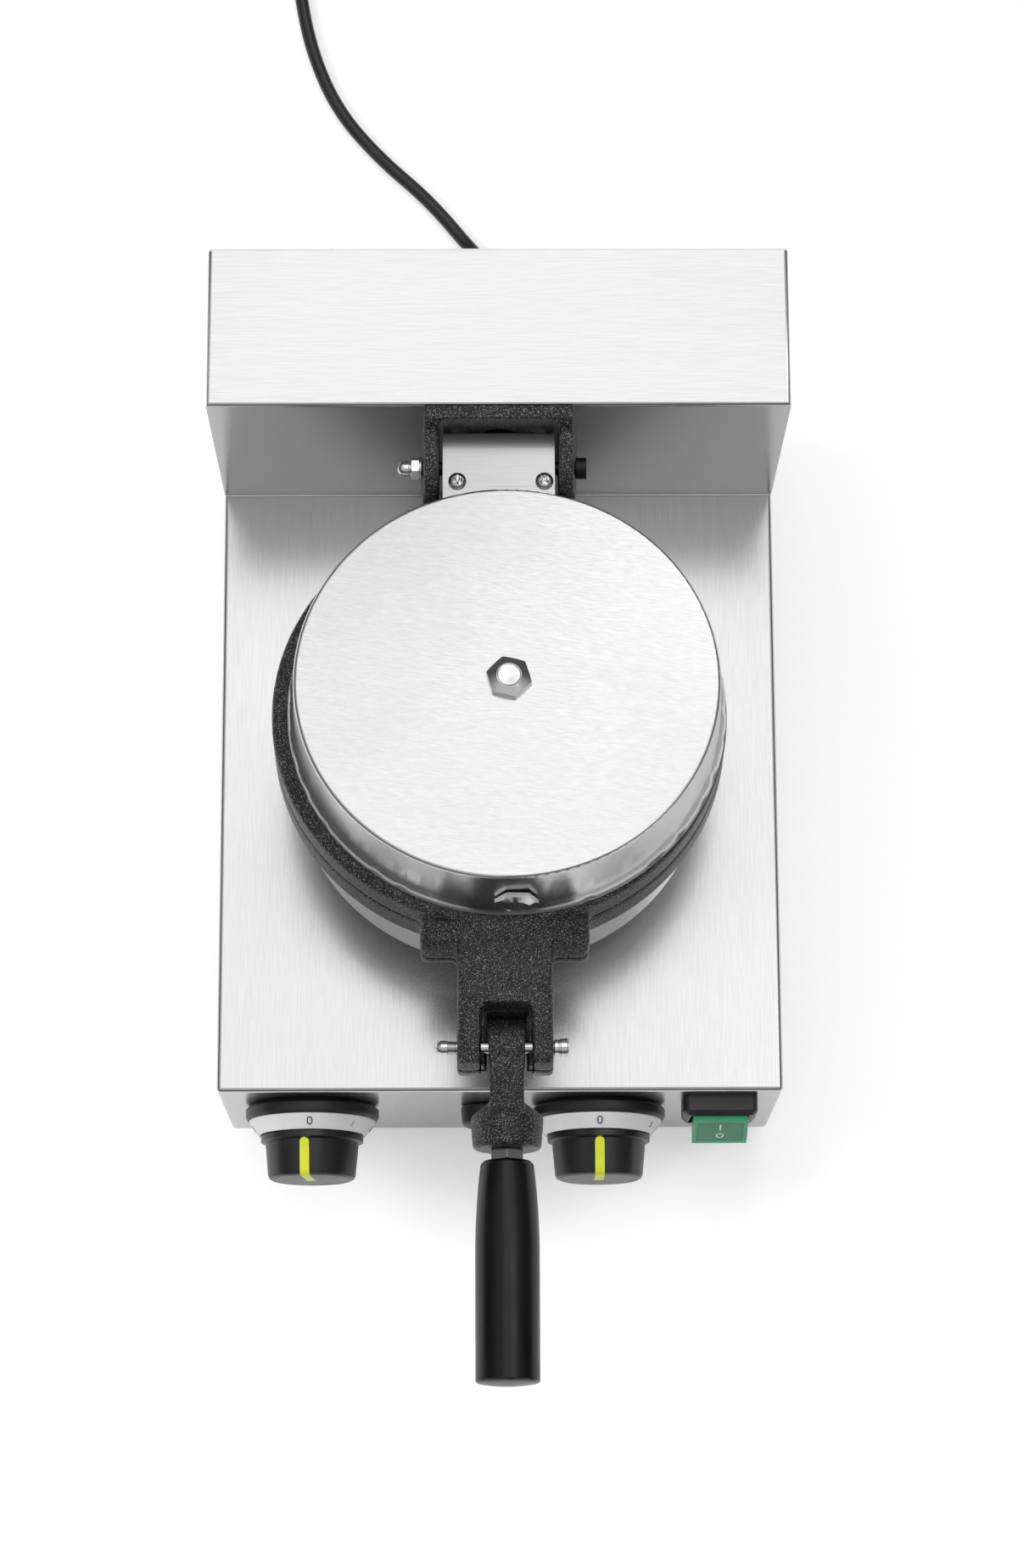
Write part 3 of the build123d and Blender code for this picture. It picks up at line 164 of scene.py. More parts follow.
def makeCamera():
    e, a, r = (math.radians(camera[k]) for k in ("elevation", "azimuth", "roll"))
    forward = Vector((math.sin(a) * math.cos(e), math.cos(a) * math.cos(e), -math.sin(e)))
    level = Vector((math.cos(a), -math.sin(a), 0))
    upward = level.cross(forward)
    right = math.cos(r) * level + math.sin(r) * upward
    top = -math.sin(r) * level + math.cos(r) * upward
    data = bpy.data.cameras.new("photoCamera")
    data.sensor_width = camera["sensor"]
    data.lens = camera["focalPixels"] / camera["imageHeight"] * camera["sensor"]
    data.clip_start, data.clip_end = 0.01, 20
    cam = addObject("photoCamera", data)
    turn = Matrix((right, top, -forward)).transposed().to_4x4()
    cam.matrix_world = Matrix.Translation(Vector(camera["place"]) * mm) @ turn
    bpy.context.scene.camera = cam


makeCamera()
bpy.context.scene.view_settings.view_transform = "Standard"
print("camera placed")

# Power cord: one 6.5 mm rubber-sheathed lead of 1.8 m, out of the gland, down to the table,
# away behind the machine and into a flat two-layer coil, with its plug beside the coil

cordFacts = {
    "radius": 3.25,
    "length": 1.78,
    "exit": (12.0, 252.649, 50.0),
    "route": [(12.0, 277.149, 50.0), (3.0, 303.149, 24.0), (-10.5, 323.149, 3.25),
              (-33.0, 351.649, 3.25), (-58.0, 374.149, 3.25), (-79.5, 400.149, 3.25),
              (-92.5, 431.149, 3.25), (-99.0, 463.149, 3.25), (-102.0, 496.149, 3.25)],
    "coilMiddle": (-52.2, 523.149),
    "coilOuter": 49.8,
    "coilStep": 3.6,         # how much the radius changes in half a turn
    "halfTurns": 6,
    "layerRise": 7.2,
    "pointsPerHalfTurn": 6,
    "leadOut": [(-102.0, 523.149, 10.45), (-102.0, 536.149, 10.45), (-110.5, 555.6, 18.2)],
    "plug": (-119.0, 569.149, 18.2),
    "plugTurn": 32.0,
}


def coilPoints():
    f = cordFacts
    n, half, step = f["halfTurns"], f["pointsPerHalfTurn"], f["coilStep"]
    swell = 1 / (0.75 + 0.25 * math.cos(math.pi / half))  # a spline runs inside its points
    points = []
    for i in range(1, 2 * n * half):
        h = i / half
        across = min(max(h - n, 0), 1)
        radius = f["coilOuter"] - step * min(h, n) + step * max(h - n - 1, 0)
        angle = math.pi * (1 - h)
        points.append((f["coilMiddle"][0] - step * across + radius * swell * math.cos(angle),
                       f["coilMiddle"][1] + radius * swell * math.sin(angle),
                       f["radius"] + f["layerRise"] * across))
    return points


def cordPath(cord):
    # the points that the smooth cord runs through, read from it without its thickness
    depth, cord.data.bevel_depth = cord.data.bevel_depth, 0.0
    line = bpy.data.meshes.new_from_object(cord)
    cord.data.bevel_depth = depth
    points = [vertex.co.copy() for vertex in line.vertices]
    bpy.data.meshes.remove(line)
    return points


sleeveFacts = {
    "length": 26.0,
    "root": 5.0,        # radius at the gland
    "tip": 3.7,         # radius at its free end
    "rib": 0.55,        # how far the ribs stand out of the grooves
    "ribs": 8,
    "rings": 65,
    "sides": 24,
    "shading": 50,
}


def makeSleeve(path):
    # tapered rubber strain relief with ribs round it, bent with the cord that it guards
    f = sleeveFacts
    travelled, stations = 0.0, []
    for before, after in zip(path, path[1:]):
        stations.append((travelled, before, (after - before).normalized()))
        travelled += (after - before).length
    vertices, faces = [], []
    n = f["sides"]
    for i in range(f["rings"]):
        share = i / (f["rings"] - 1)
        reach = share * f["length"] * mm
        start, spot, along = [s for s in stations if s[0] <= reach][-1]
        middle = spot + along * (reach - start)
        wave = math.sin(math.pi * f["ribs"] * share) ** 2 - 0.5 if 0 < share < 1 else 0
        radius = f["root"] + (f["tip"] - f["root"]) * share + f["rib"] * wave
        aside = along.cross(Vector((0, 0, 1))).normalized()
        above = aside.cross(along)
        for k in range(n):
            angle = 2 * math.pi * k / n
            vertices.append(middle + (aside * math.cos(angle) + above * math.sin(angle)) * radius * mm)
    for i in range(f["rings"] - 1):
        for k in range(n):
            a, b = i * n + k, i * n + (k + 1) % n
            faces.append((a, b, b + n, a + n))
    faces += [tuple(range(n))[::-1], tuple(range(len(vertices) - n, len(vertices)))]
    mesh = bpy.data.meshes.new("cord_strain_relief")
    mesh.from_pydata([tuple(v) for v in vertices], [], faces)
    sleeve = addObject("cord_strain_relief", mesh)
    selectOnly(sleeve)
    bpy.ops.object.mode_set(mode="EDIT")
    bpy.ops.mesh.select_all(action="SELECT")
    bpy.ops.mesh.normals_make_consistent(inside=False)
    bpy.ops.object.mode_set(mode="OBJECT")
    bpy.ops.object.shade_smooth_by_angle(angle=math.radians(f["shading"]))
    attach(sleeve, "chassis")
    return sleeve


def makeCord():
    f = cordFacts
    points = [f["exit"]] + f["route"] + coilPoints() + f["leadOut"] + [f["plug"]]
    curve = bpy.data.curves.new("mains_cord", "CURVE")
    curve.dimensions = "3D"
    curve.bevel_depth = 1.0  # times each point's radius, so that the curve's box is its true box
    curve.bevel_resolution = 6
    curve.resolution_u = 6
    spline = curve.splines.new("NURBS")
    spline.points.add(len(points) - 1)
    for point, spot in zip(spline.points, points):
        point.co = (*[c * mm for c in spot], 1)
        point.radius = f["radius"] * mm
    spline.order_u = 3
    spline.use_endpoint_u = True
    cord = addObject("mains_cord", curve)
    sleeve = makeSleeve(cordPath(cord))
    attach(cord, "chassis")
    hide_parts("power_cord", "cord_coil", "plug_lead")
    return cord, sleeve


mainsCord, reliefSleeve = makeCord()
print("cord laid")


# Materials, each named for the real one

def brushedSteel(name, hexCodes, grain, roughness, grainMillimetres=0.6, strokeMillimetres=16, lean=0.0):
    # stainless sheet with a belt-ground finish: fine parallel scratches that spread a reflection
    # across the grain and leave it crisp along it, over faint long streaks;
    # the real scratches are 0.05 mm apart, drawn coarser so that they still show
    facts = {
        "tones": (0.3, 0.9),        # where on the ramp the colours stand
        "noise": (0.3, 0.7),        # the values that most of a noise lies between
        "rough": (roughness - 0.02, roughness + 0.03),
        "relief": 0.5, "depth": 0.018,
        "streakScale": 0.16,        # times the grain
        "streakShare": 0.2,
        "patch": 111.11,            # millimetres from one duller patch to the next
        "facing": 0.7,              # a face counts as looking forward or sideways above this
    }
    material, tree, shader, coords = newMaterial(name)
    turned = addNode(tree, "ShaderNodeMapping", {"Rotation": (0, 0, math.radians(lean))},
                     {"Vector": coords["Object"]})
    fine, long = 1 / (grainMillimetres * mm), 1 / (strokeMillimetres * mm)
    scales = {"x": (long, fine, fine), "y": (fine, long, fine), "z": (fine, fine, long)}
    directions = []
    for letter in grain:  # for faces that look up, forward and sideways
        mapping = addNode(tree, "ShaderNodeMapping", {"Scale": scales[letter]}, {"Vector": turned.outputs[0]})
        directions.append(mapping.outputs[0])
    parts = addNode(tree, "ShaderNodeSeparateXYZ", {}, {0: coords["Normal"]})
    vector = directions[0]
    for axis, choice in zip("YX", directions[1:]):
        facing = addNode(tree, "ShaderNodeMath", {"operation": "ABSOLUTE"}, {0: parts.outputs[axis]})
        chosen = addNode(tree, "ShaderNodeMath", {"operation": "GREATER_THAN", 1: facts["facing"]},
                         {0: facing.outputs[0]})
        pick = addNode(tree, "ShaderNodeMix", {"data_type": "VECTOR"},
                       {"Factor": chosen.outputs[0], 4: vector, 5: choice})
        vector = pick.outputs[1]
    lines = addNode(tree, "ShaderNodeTexNoise", {"Scale": 1.0, "Detail": 2.0, "Roughness": 0.6},
                    {"Vector": vector})
    slow = addNode(tree, "ShaderNodeVectorMath", {"operation": "SCALE", "Scale": facts["streakScale"]},
                   {0: vector})
    streaks = addNode(tree, "ShaderNodeTexNoise", {"Scale": 1.0, "Detail": 2.0}, {"Vector": slow.outputs[0]})
    clouds = addNode(tree, "ShaderNodeTexNoise", {"Scale": 1 / (facts["patch"] * mm), "Detail": 2.0},
                     {"Vector": coords["Object"]})
    both = addNode(tree, "ShaderNodeMath", {"operation": "MULTIPLY_ADD", 1: facts["streakShare"]},
                   {0: streaks.outputs["Fac"], 2: lines.outputs["Fac"]})
    finishSurface(tree, shader, hexCodes, facts, both.outputs[0], clouds.outputs["Fac"],
                  lines.outputs["Fac"])
    shader.inputs["Metallic"].default_value = 1.0
    return material


def wrinkleEnamel(name, hexCodes, grainMillimetres=0.52):
    # stoved wrinkle enamel on a casting: near black and pebbled, its crests glossier; the pale specks on
    # the crests are painted highlights in the colour; the real pebbles are about 0.4 mm
    facts = {
        # the third tone is a pale grey that paints highlights on the highest crests
        "tones": (0.5, 0.57, 0.64), "noise": (0.35, 0.65),
        "rough": (0.46, 0.3),       # the crests are the glossier
        "relief": 1.0, "depth": 0.2,
        "pebbleScale": 0.8,         # times the specks
        "pebbleShare": -0.8,        # their middles stand up
        "specular": 0.35,
    }
    material, tree, shader, coords = newMaterial(name)
    fine = 1 / (grainMillimetres * mm)
    pebbles = addNode(tree, "ShaderNodeTexVoronoi",
                      {"feature": "SMOOTH_F1", "Scale": facts["pebbleScale"] * fine},
                      {"Vector": coords["Object"]})
    # fine noise for the crests: it raises the relief and also places the painted highlights
    crestsAndPaintedGlints = addNode(tree, "ShaderNodeTexNoise", {"Scale": fine, "Detail": 2.0, "Roughness": 0.7},
                     {"Vector": coords["Object"]})
    height = addNode(tree, "ShaderNodeMath", {"operation": "MULTIPLY_ADD", 1: facts["pebbleShare"]},
                     {0: pebbles.outputs["Distance"], 2: crestsAndPaintedGlints.outputs["Fac"]})
    # the colour follows the same noise, so the crest tops take the painted highlight
    finishSurface(tree, shader, hexCodes, facts, crestsAndPaintedGlints.outputs["Fac"], crestsAndPaintedGlints.outputs["Fac"],
                  height.outputs[0])
    shader.inputs["Specular IOR Level"].default_value = facts["specular"]
    return material


def mouldedSkin(name, hexCodes, roughness, grainMillimetres, relief, **sockets):
    # an even colour, a faint skin from the mould or the tool and slightly uneven gloss
    facts = {"tones": (0.3, 0.7), "noise": (0.3, 0.7), "rough": (roughness - 0.04, roughness + 0.05),
             "relief": relief, "depth": 0.08, "patch": 16.667}
    material, tree, shader, coords = newMaterial(name)
    skin = addNode(tree, "ShaderNodeTexNoise", {"Scale": 1 / (grainMillimetres * mm), "Detail": 3.0},
                   {"Vector": coords["Object"]})
    handling = addNode(tree, "ShaderNodeTexNoise", {"Scale": 1 / (facts["patch"] * mm), "Detail": 3.0},
                       {"Vector": coords["Object"]})
    uneven = handling.outputs["Fac"]
    finishSurface(tree, shader, hexCodes, facts, uneven, uneven, skin.outputs["Fac"])
    for socket, value in sockets.items():
        shader.inputs[socket.replace("_", " ")].default_value = value
    return material


# the sheets differ in grain, with one letter each for faces that look up, forward and sideways
stainlessBase = brushedSteel("stainless_304_base_grain", ("#bababa", "#c6c6c6"), "yzy", 0.22)
stainlessColumn = brushedSteel("stainless_304_column_grain", ("#bababa", "#c6c6c6"), "xxz", 0.2)
stainlessCover = brushedSteel("stainless_304_pressed_cover", ("#bebebe", "#d2d2d2"), "xxx", 0.27, 0.6, 5, 8)
stainlessPlain = brushedSteel("stainless_304_mill_sheet", ("#b4b4b4", "#c0c0c0"), "xxy", 0.28)
# turned steel: bright, with small crisp reflections
brightSteel = mouldedSkin("turned_stainless_fastener", ("#b4b5b5", "#cfd0d0"), 0.16, 0.4, 0.1, Metallic=1.0)
# the same under black oxide: dark, with a dull glint
blackSteel = mouldedSkin("black_oxide_steel", ("#161617", "#222224"), 0.4, 0.5, 0.2, Metallic=0.6)
# near-black enamel; its pale grey third colour is painted highlights on the crests of the wrinkles
castEnamel = wrinkleEnamel("wrinkle_enamel_on_cast_aluminium", ("#070707", "#101010", "#808080"))
# sprayed and baked on: charcoal with a soft sheen
bakingCoat = mouldedSkin("non_stick_baking_coat", ("#232323", "#2e2e2e"), 0.36, 0.35, 0.3)
# pressed and polished: jet black with one long clear highlight
phenolic = mouldedSkin("polished_phenolic_black", ("#050505", "#080808"), 0.3, 0.9, 0.06,
                       Specular_IOR_Level=0.3)
# moulded, the knobs half glossy and the bezels satin
knobNylon = mouldedSkin("glass_filled_nylon_black", ("#111111", "#191919"), 0.34, 0.5, 0.3)
bezelNylon = mouldedSkin("satin_nylon_black", ("#161616", "#202020"), 0.42, 0.7, 0.15)
# moulded and screened silver: pale and flat, with hardly a reflection
dialGrey = mouldedSkin("silver_screened_abs", ("#d2d2d0", "#dcdcda"), 0.42, 0.5, 0.05)
# a thin printed film, duller than the silver under it
dialInk = mouldedSkin("screen_printing_ink", ("#3a3a3c", "#454547"), 0.55, 0.4, 0.05)
# moulded into the knob: full lime, half glossy
limeInlay = mouldedSkin("lime_moulded_inlay", ("#c3cc1c", "#d3da2e"), 0.34, 0.5, 0.1)
# moulded and tinted through: glossy, and some light goes in
greenPolycarbonate = mouldedSkin("green_tinted_polycarbonate", ("#2a9466", "#3dad7c"), 0.16, 0.8, 0.05,
                                 Transmission_Weight=0.25, IOR=1.58)
greenWindow = mouldedSkin("green_lens_window", ("#0d7045", "#148556"), 0.2, 0.5, 0.1,
                          Transmission_Weight=0.15, IOR=1.58)
# printed on the window: nearly white, matt
whiteInk = mouldedSkin("white_pad_print", ("#e4efe8", "#eef6f1"), 0.5, 0.4, 0.05)
# moulded and tinted through, as the green one is
amberPolycarbonate = mouldedSkin("amber_tinted_polycarbonate", ("#a8480c", "#c05a14"), 0.14, 0.8, 0.04,
                                 Transmission_Weight=0.3, IOR=1.58)
# moulded rubber: dull, with broad soft highlights
footRubber = mouldedSkin("nitrile_rubber_black", ("#161616", "#202020"), 0.62, 0.5, 0.4)
cordRubber = mouldedSkin("rubber_sheath_black", ("#141414", "#1e1e1e"), 0.4, 0.45, 0.35)
# moulded resin: ivory and satin
melamine = mouldedSkin("moulded_melamine_ivory", ("#d9d5c8", "#e4e0d4"), 0.45, 0.6, 0.1)
# drawn and pressed steel, browned by the heater's heat
heatedSteel = mouldedSkin("heat_tinted_stainless", ("#4a4540", "#6a625a"), 0.4, 0.5, 0.3, Metallic=0.9)
# pressed fibres: rough and matt
mineralWool = mouldedSkin("mineral_wool_board", ("#c9c2ae", "#ddd7c6"), 0.9, 0.5, 1.0)
# drawn: warm and smooth
drawnCopper = mouldedSkin("drawn_copper", ("#b06a48", "#c47c58"), 0.3, 0.5, 0.1, Metallic=1.0)
# nickel on brass: a warm silver
platedBrass = mouldedSkin("nickel_plated_brass", ("#b9b4a6", "#cdc8ba"), 0.22, 0.5, 0.05, Metallic=1.0)
print("materials mixed")


# Tools for shaping pieces

bodies = frame["record"]["behaviour"]["bodies"]
bodyOf = {node: body for body, members in bodies.items() for node in members}


def softenShading(piece, angle):
    selectOnly(piece)
    bpy.ops.object.shade_smooth_by_angle(angle=math.radians(angle))
    even = piece.modifiers.new("evenNormals", "WEIGHTED_NORMAL")
    even.keep_sharp = True
    bpy.ops.object.modifier_apply(modifier=even.name)


def roundEdges(piece, width, segments=2, angle=30):
    selectOnly(piece)
    bevel = piece.modifiers.new("softEdge", "BEVEL")
    bevel.width, bevel.segments = width * mm, segments
    bevel.limit_method, bevel.angle_limit = "ANGLE", math.radians(angle)
    bevel.use_clamp_overlap = True
    bevel.miter_outer = "MITER_ARC"
    bpy.ops.object.modifier_apply(modifier=bevel.name)


def settle(piece, name, body, finish, seat=None, shadeAngle=35):
    # bakes the seat into the mesh, gives the finish, shades it and lets it ride
    piece.name = piece.data.name = name
    if seat is not None:
        piece.data.transform(seat)
    piece.data.materials.clear()
    piece.data.materials.append(finish)
    softenShading(piece, shadeAngle)
    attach(piece, body)
    return piece


def turnedPiece(name, body, finish, profile, seat, vertices=64, shadeAngle=35):
    # a disc at the foot of the profile, then ring after ring extruded and resized
    radius, height = profile[0]
    bpy.ops.object.select_all(action="DESELECT")
    bpy.ops.mesh.primitive_circle_add(vertices=vertices, radius=radius * mm, fill_type="NGON")
    piece = bpy.context.object
    bpy.ops.object.mode_set(mode="EDIT")
    bpy.ops.mesh.select_all(action="SELECT")
    bpy.ops.transform.translate(value=(0, 0, height * mm))
    for nextRadius, nextHeight in profile[1:]:
        bpy.ops.mesh.extrude_region_move(
            TRANSFORM_OT_translate={"value": (0, 0, (nextHeight - height) * mm)})
        size = nextRadius / radius
        bpy.ops.transform.resize(value=(size, size, 1), center_override=(0, 0, nextHeight * mm))
        radius, height = nextRadius, nextHeight
    bpy.ops.mesh.select_all(action="SELECT")
    bpy.ops.mesh.normals_make_consistent(inside=False)
    bpy.ops.object.mode_set(mode="OBJECT")
    return settle(piece, name, body, finish, seat, shadeAngle)


def barPiece(name, body, finish, size, seat, rounding=0.3, segments=2):
    # a small bar with softened edges
    bpy.ops.object.select_all(action="DESELECT")
    bpy.ops.mesh.primitive_cube_add(size=1)
    piece = bpy.context.object
    piece.data.transform(Matrix.Diagonal((size[0] * mm, size[1] * mm, size[2] * mm, 1)))
    roundEdges(piece, rounding, segments)
    return settle(piece, name, body, finish, seat)


def lettering(name, body, finish, text, height, seat, depth=0.06, sizePerHeight=1.4):
    # printed characters: thin raised shapes on the surface at the seat
    bpy.ops.object.select_all(action="DESELECT")
    bpy.ops.object.text_add()
    piece = bpy.context.object
    piece.data.body, piece.data.size = text, height * sizePerHeight * mm
    piece.data.align_x, piece.data.align_y = "CENTER", "CENTER"
    piece.data.extrude, piece.data.resolution_u = depth * mm, 6
    bpy.ops.object.convert(target="MESH")
    piece = bpy.context.object
    return settle(piece, name, body, finish, seat)


castings = {  # voxel in millimetres, rounds of smoothing
    "upper_casting": (1.3, 5),
    "lower_casting": (1.3, 5),
    "hinge_bracket": (0.9, 6),
    "pedestal": (1.5, 5),
    "lever": (0.55, 7),
}


def crownArm(piece):
    # the forked arm is a little lower along its two sides than in the middle
    facts = {"from": -110.0, "halfWidth": 20.0, "top": 6.0, "drop": 1.5, "blend": 8.0, "skin": 3.0}
    for vertex in piece.data.vertices:
        x, y, z = (c / mm for c in vertex.co)
        aside = min(abs(x - place["armAside"]) / facts["halfWidth"], 1.0)
        ahead = min(max((facts["from"] - y) / facts["blend"], 0.0), 1.0)
        if z > facts["top"]:
            above = min((z - facts["top"]) / facts["skin"], 1.0)
            vertex.co.z -= facts["drop"] * mm * aside ** 2 * ahead * above


def softenCasting(piece, facts):
    # sand-cast edges and inner corners are all rounded: the solid is worked over in the frame in
    # which its faces are square to the voxels, and smoothed
    voxel, rounds = facts
    frameOf = leverFrame if piece.name.startswith("lever") else headFrame
    if piece.name.startswith("hinge_bracket"):
        frameOf = Matrix.Identity(4)
    piece.data.transform(frameOf.inverted())
    selectOnly(piece)
    remesh = piece.modifiers.new("castSkin", "REMESH")
    remesh.mode, remesh.voxel_size = "VOXEL", voxel * mm
    bpy.ops.object.modifier_apply(modifier=remesh.name)
    smooth = piece.modifiers.new("drawnBack", "SMOOTH")
    smooth.factor, smooth.iterations = 0.5, rounds
    bpy.ops.object.modifier_apply(modifier=smooth.name)
    if piece.name.startswith("upper_casting"):
        crownArm(piece)
    piece.data.transform(frameOf)
    print("cast", piece.name, len(piece.data.polygons))


def dressNode(name, finish, bevelWidth=0.0, segments=2, shadeAngle=32):
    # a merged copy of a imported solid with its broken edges, standing for that solid
    facts = {"merge": 0.004, "flat": 0.5}  # millimetres, degrees
    piece = addObject(name + "_dressed", nodes[name].data.copy())
    selectOnly(piece)
    bpy.ops.object.mode_set(mode="EDIT")
    bpy.ops.mesh.select_all(action="SELECT")
    bpy.ops.mesh.remove_doubles(threshold=facts["merge"] * mm)
    bpy.ops.mesh.dissolve_limited(angle_limit=math.radians(facts["flat"]))
    bpy.ops.object.mode_set(mode="OBJECT")
    if name in castings:
        softenCasting(piece, castings[name])
    elif bevelWidth:
        roundEdges(piece, bevelWidth, segments)
    settle(piece, name + "_dressed", bodyOf[name], finish, shadeAngle=shadeAngle)
    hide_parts(name)
    return piece


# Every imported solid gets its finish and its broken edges, in millimetres; 0 leaves them sharp, and
# the castings are rounded by their own table instead

dressing = {
    "base_shell": (stainlessBase, 0), "column_shell": (stainlessColumn, 0),
    "rear_panel": (stainlessPlain, 0.25), "bottom_plate": (stainlessPlain, 0.25),
    "upper_cover": (stainlessCover, 0), "lower_cover": (stainlessCover, 0),
    "hinge_plate": (stainlessPlain, 0.2), "hinge_bracket": (castEnamel, 0),
    "upper_casting": (castEnamel, 0), "lower_casting": (castEnamel, 0),
    "pedestal": (castEnamel, 0), "lever": (castEnamel, 0), "grip": (phenolic, 0),
    "grip_stud": (brightSteel, 0),
    "lever_pin": (brightSteel, 0.25), "lever_pin_cap": (brightSteel, 0),
    "thermostat_knob": (knobNylon, 0.3), "timer_knob": (knobNylon, 0.3),
    "thermostat_pointer": (limeInlay, 0.15), "timer_pointer": (limeInlay, 0.15),
    "thermostat_bezel": (bezelNylon, 0.5), "timer_bezel": (bezelNylon, 0.5),
    "thermostat_dial": (dialGrey, 0.15), "timer_dial": (dialGrey, 0.15),
    "thermostat_spindle": (brightSteel, 0), "timer_spindle": (brightSteel, 0),
    "thermostat_body": (melamine, 0.6), "timer_body": (melamine, 0.6), "terminal_block": (melamine, 0.4),
    "lamp_bezel": (bezelNylon, 0.4), "lamp_lens": (amberPolycarbonate, 0),
    "rocker_frame": (bezelNylon, 1.6),
    "rear_panel_screws": (brightSteel, 0), "bottom_plate_screws": (brightSteel, 0),
    "foot_screws": (brightSteel, 0),
    "pedestal_screws": (brightSteel, 0.15), "pedestal_centre_bolt": (brightSteel, 0.2),
    "bracket_bolts": (brightSteel, 0.15), "hinge_bolt": (blackSteel, 0.25),
    "hinge_washer": (brightSteel, 0.15),
    "rubber_feet": (footRubber, 0.4), "cable_gland": (bezelNylon, 0.4),
    "power_plug": (cordRubber, 0.8), "plug_pins": (platedBrass, 0.3),
    "upper_heater": (heatedSteel, 0), "lower_heater": (heatedSteel, 0),
    "upper_heater_clamp": (heatedSteel, 0.2), "lower_heater_clamp": (heatedSteel, 0.2),
    "upper_insulation": (mineralWool, 0.4), "lower_insulation": (mineralWool, 0.4),
    "sensor_bulb": (drawnCopper, 0),
}
dressed = {name: dressNode(name, finish, width) for name, (finish, width) in dressing.items()}
for piece in (mainsCord, reliefSleeve):
    piece.data.materials.append(cordRubber)
print("dressed", len(dressed), "solids")


# Bolts, nuts, screws and the other fittings that the solids stand in for

fastenerSides = 72
fastenerShading = 32
nearAxis = 0.05  # a turned profile ends this far from its axis, in millimetres


def hexFastener(name, body, profile, flats, turn, seat, rounding=0.12):
    # a turned blank with coned ends, cut to a hexagon; one corner stands at the given turn
    piece = turnedPiece(name, body, brightSteel, profile, None, fastenerSides, fastenerShading)
    selectOnly(piece)
    bpy.ops.object.mode_set(mode="EDIT")
    for i in range(6):
        angle = math.radians(turn + 30 + 60 * i)
        side = (math.cos(angle), math.sin(angle), 0)
        bpy.ops.mesh.select_all(action="SELECT")
        bpy.ops.mesh.bisect(plane_co=[c * flats / 2 * mm for c in side], plane_no=side, use_fill=True,
                            clear_outer=True)
    bpy.ops.mesh.select_all(action="SELECT")
    bpy.ops.mesh.normals_make_consistent(inside=False)
    bpy.ops.object.mode_set(mode="OBJECT")
    roundEdges(piece, rounding, segments=1, angle=40)
    piece.data.transform(seat)
    softenShading(piece, fastenerShading)
    return piece


def crownProfile(flats, height, rimShare):
    # the head of a turned bolt: straight foot, long cone, narrow rim and a ringed dish inside it
    f = {"foot": 0.42, "shoulder": 0.97, "dish": 0.86, "rise": 0.06, "groove": 0.008, "grooveWidth": 0.08,
         "grooves": (0.92, 0.76, 0.6, 0.44, 0.28), "spare": 0.3, "flare": 0.25}
    corner, rim = flats / math.sqrt(3) + f["spare"], rimShare * flats
    outline = [(corner, 0), (corner, height * f["foot"]),
               (rim + f["flare"], height * f["shoulder"]), (rim, height)]
    for share in f["grooves"]:  # left by the turning tool
        level = f["dish"] + f["rise"] * share
        outline += [(rim * share, height * level),
                    (rim * (share - f["grooveWidth"]), height * (level + f["groove"]))]
    return outline + [(nearAxis, height * f["dish"])]


coverBolts = {
    "cover_bolt": {"flats": 17.0, "height": 4.2, "rim": 0.3, "turn": -14},
    "cover_front_bolt": {"flats": 16.0, "height": 3.6, "rim": 0.33, "turn": -4,
                         "aside": 3.6, "ahead": 90.7, "rise": 27.0},
}


def makeCoverBolts():
    front = coverBolts["cover_front_bolt"]
    wallSpot = ((place["coverAside"] + front["aside"]) * mm, (place["coverBack"] - front["ahead"]) * mm,
                front["rise"] * mm)
    spots = {
        "cover_bolt": headFrame @ Matrix.Translation(
            (place["boltAside"] * mm, place["coverBack"] * mm, place["coverTop"] * mm)),
        "cover_front_bolt": headFrame @ Matrix.Translation(wallSpot) @ Matrix.Rotation(
            math.radians(90), 4, "X"),
    }
    for node, facts in coverBolts.items():
        profile = crownProfile(facts["flats"], facts["height"], facts["rim"])
        crown = hexFastener(node + "_crown", bodyOf[node], profile, facts["flats"], facts["turn"],
                            spots[node])
        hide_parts(node)


def makeGripNut():
    # a plain nut, chamfered on both ends, one corner up
    facts = {"ahead": 42.7, "flats": 13.0, "height": 4.6, "chamfer": 0.55, "turn": 90, "rounding": 0.18,
             "spare": 0.2}
    corner, flat = facts["flats"] / math.sqrt(3) + facts["spare"], facts["flats"] / 2
    profile = [(flat, 0), (corner, facts["chamfer"]), (corner, facts["height"] - facts["chamfer"]),
               (flat, facts["height"])]
    foot = leverFrame @ Matrix.Translation((0, -facts["ahead"] * mm, 0)) @ Matrix.Rotation(
        math.radians(90), 4, "X")
    nut = hexFastener("grip_lock_nut", "lever", profile, facts["flats"], facts["turn"], foot,
                      facts["rounding"])
    nut.data.transform(Matrix.Translation((place["slotAside"] * mm, 0, 0)))
    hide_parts("grip_nut")


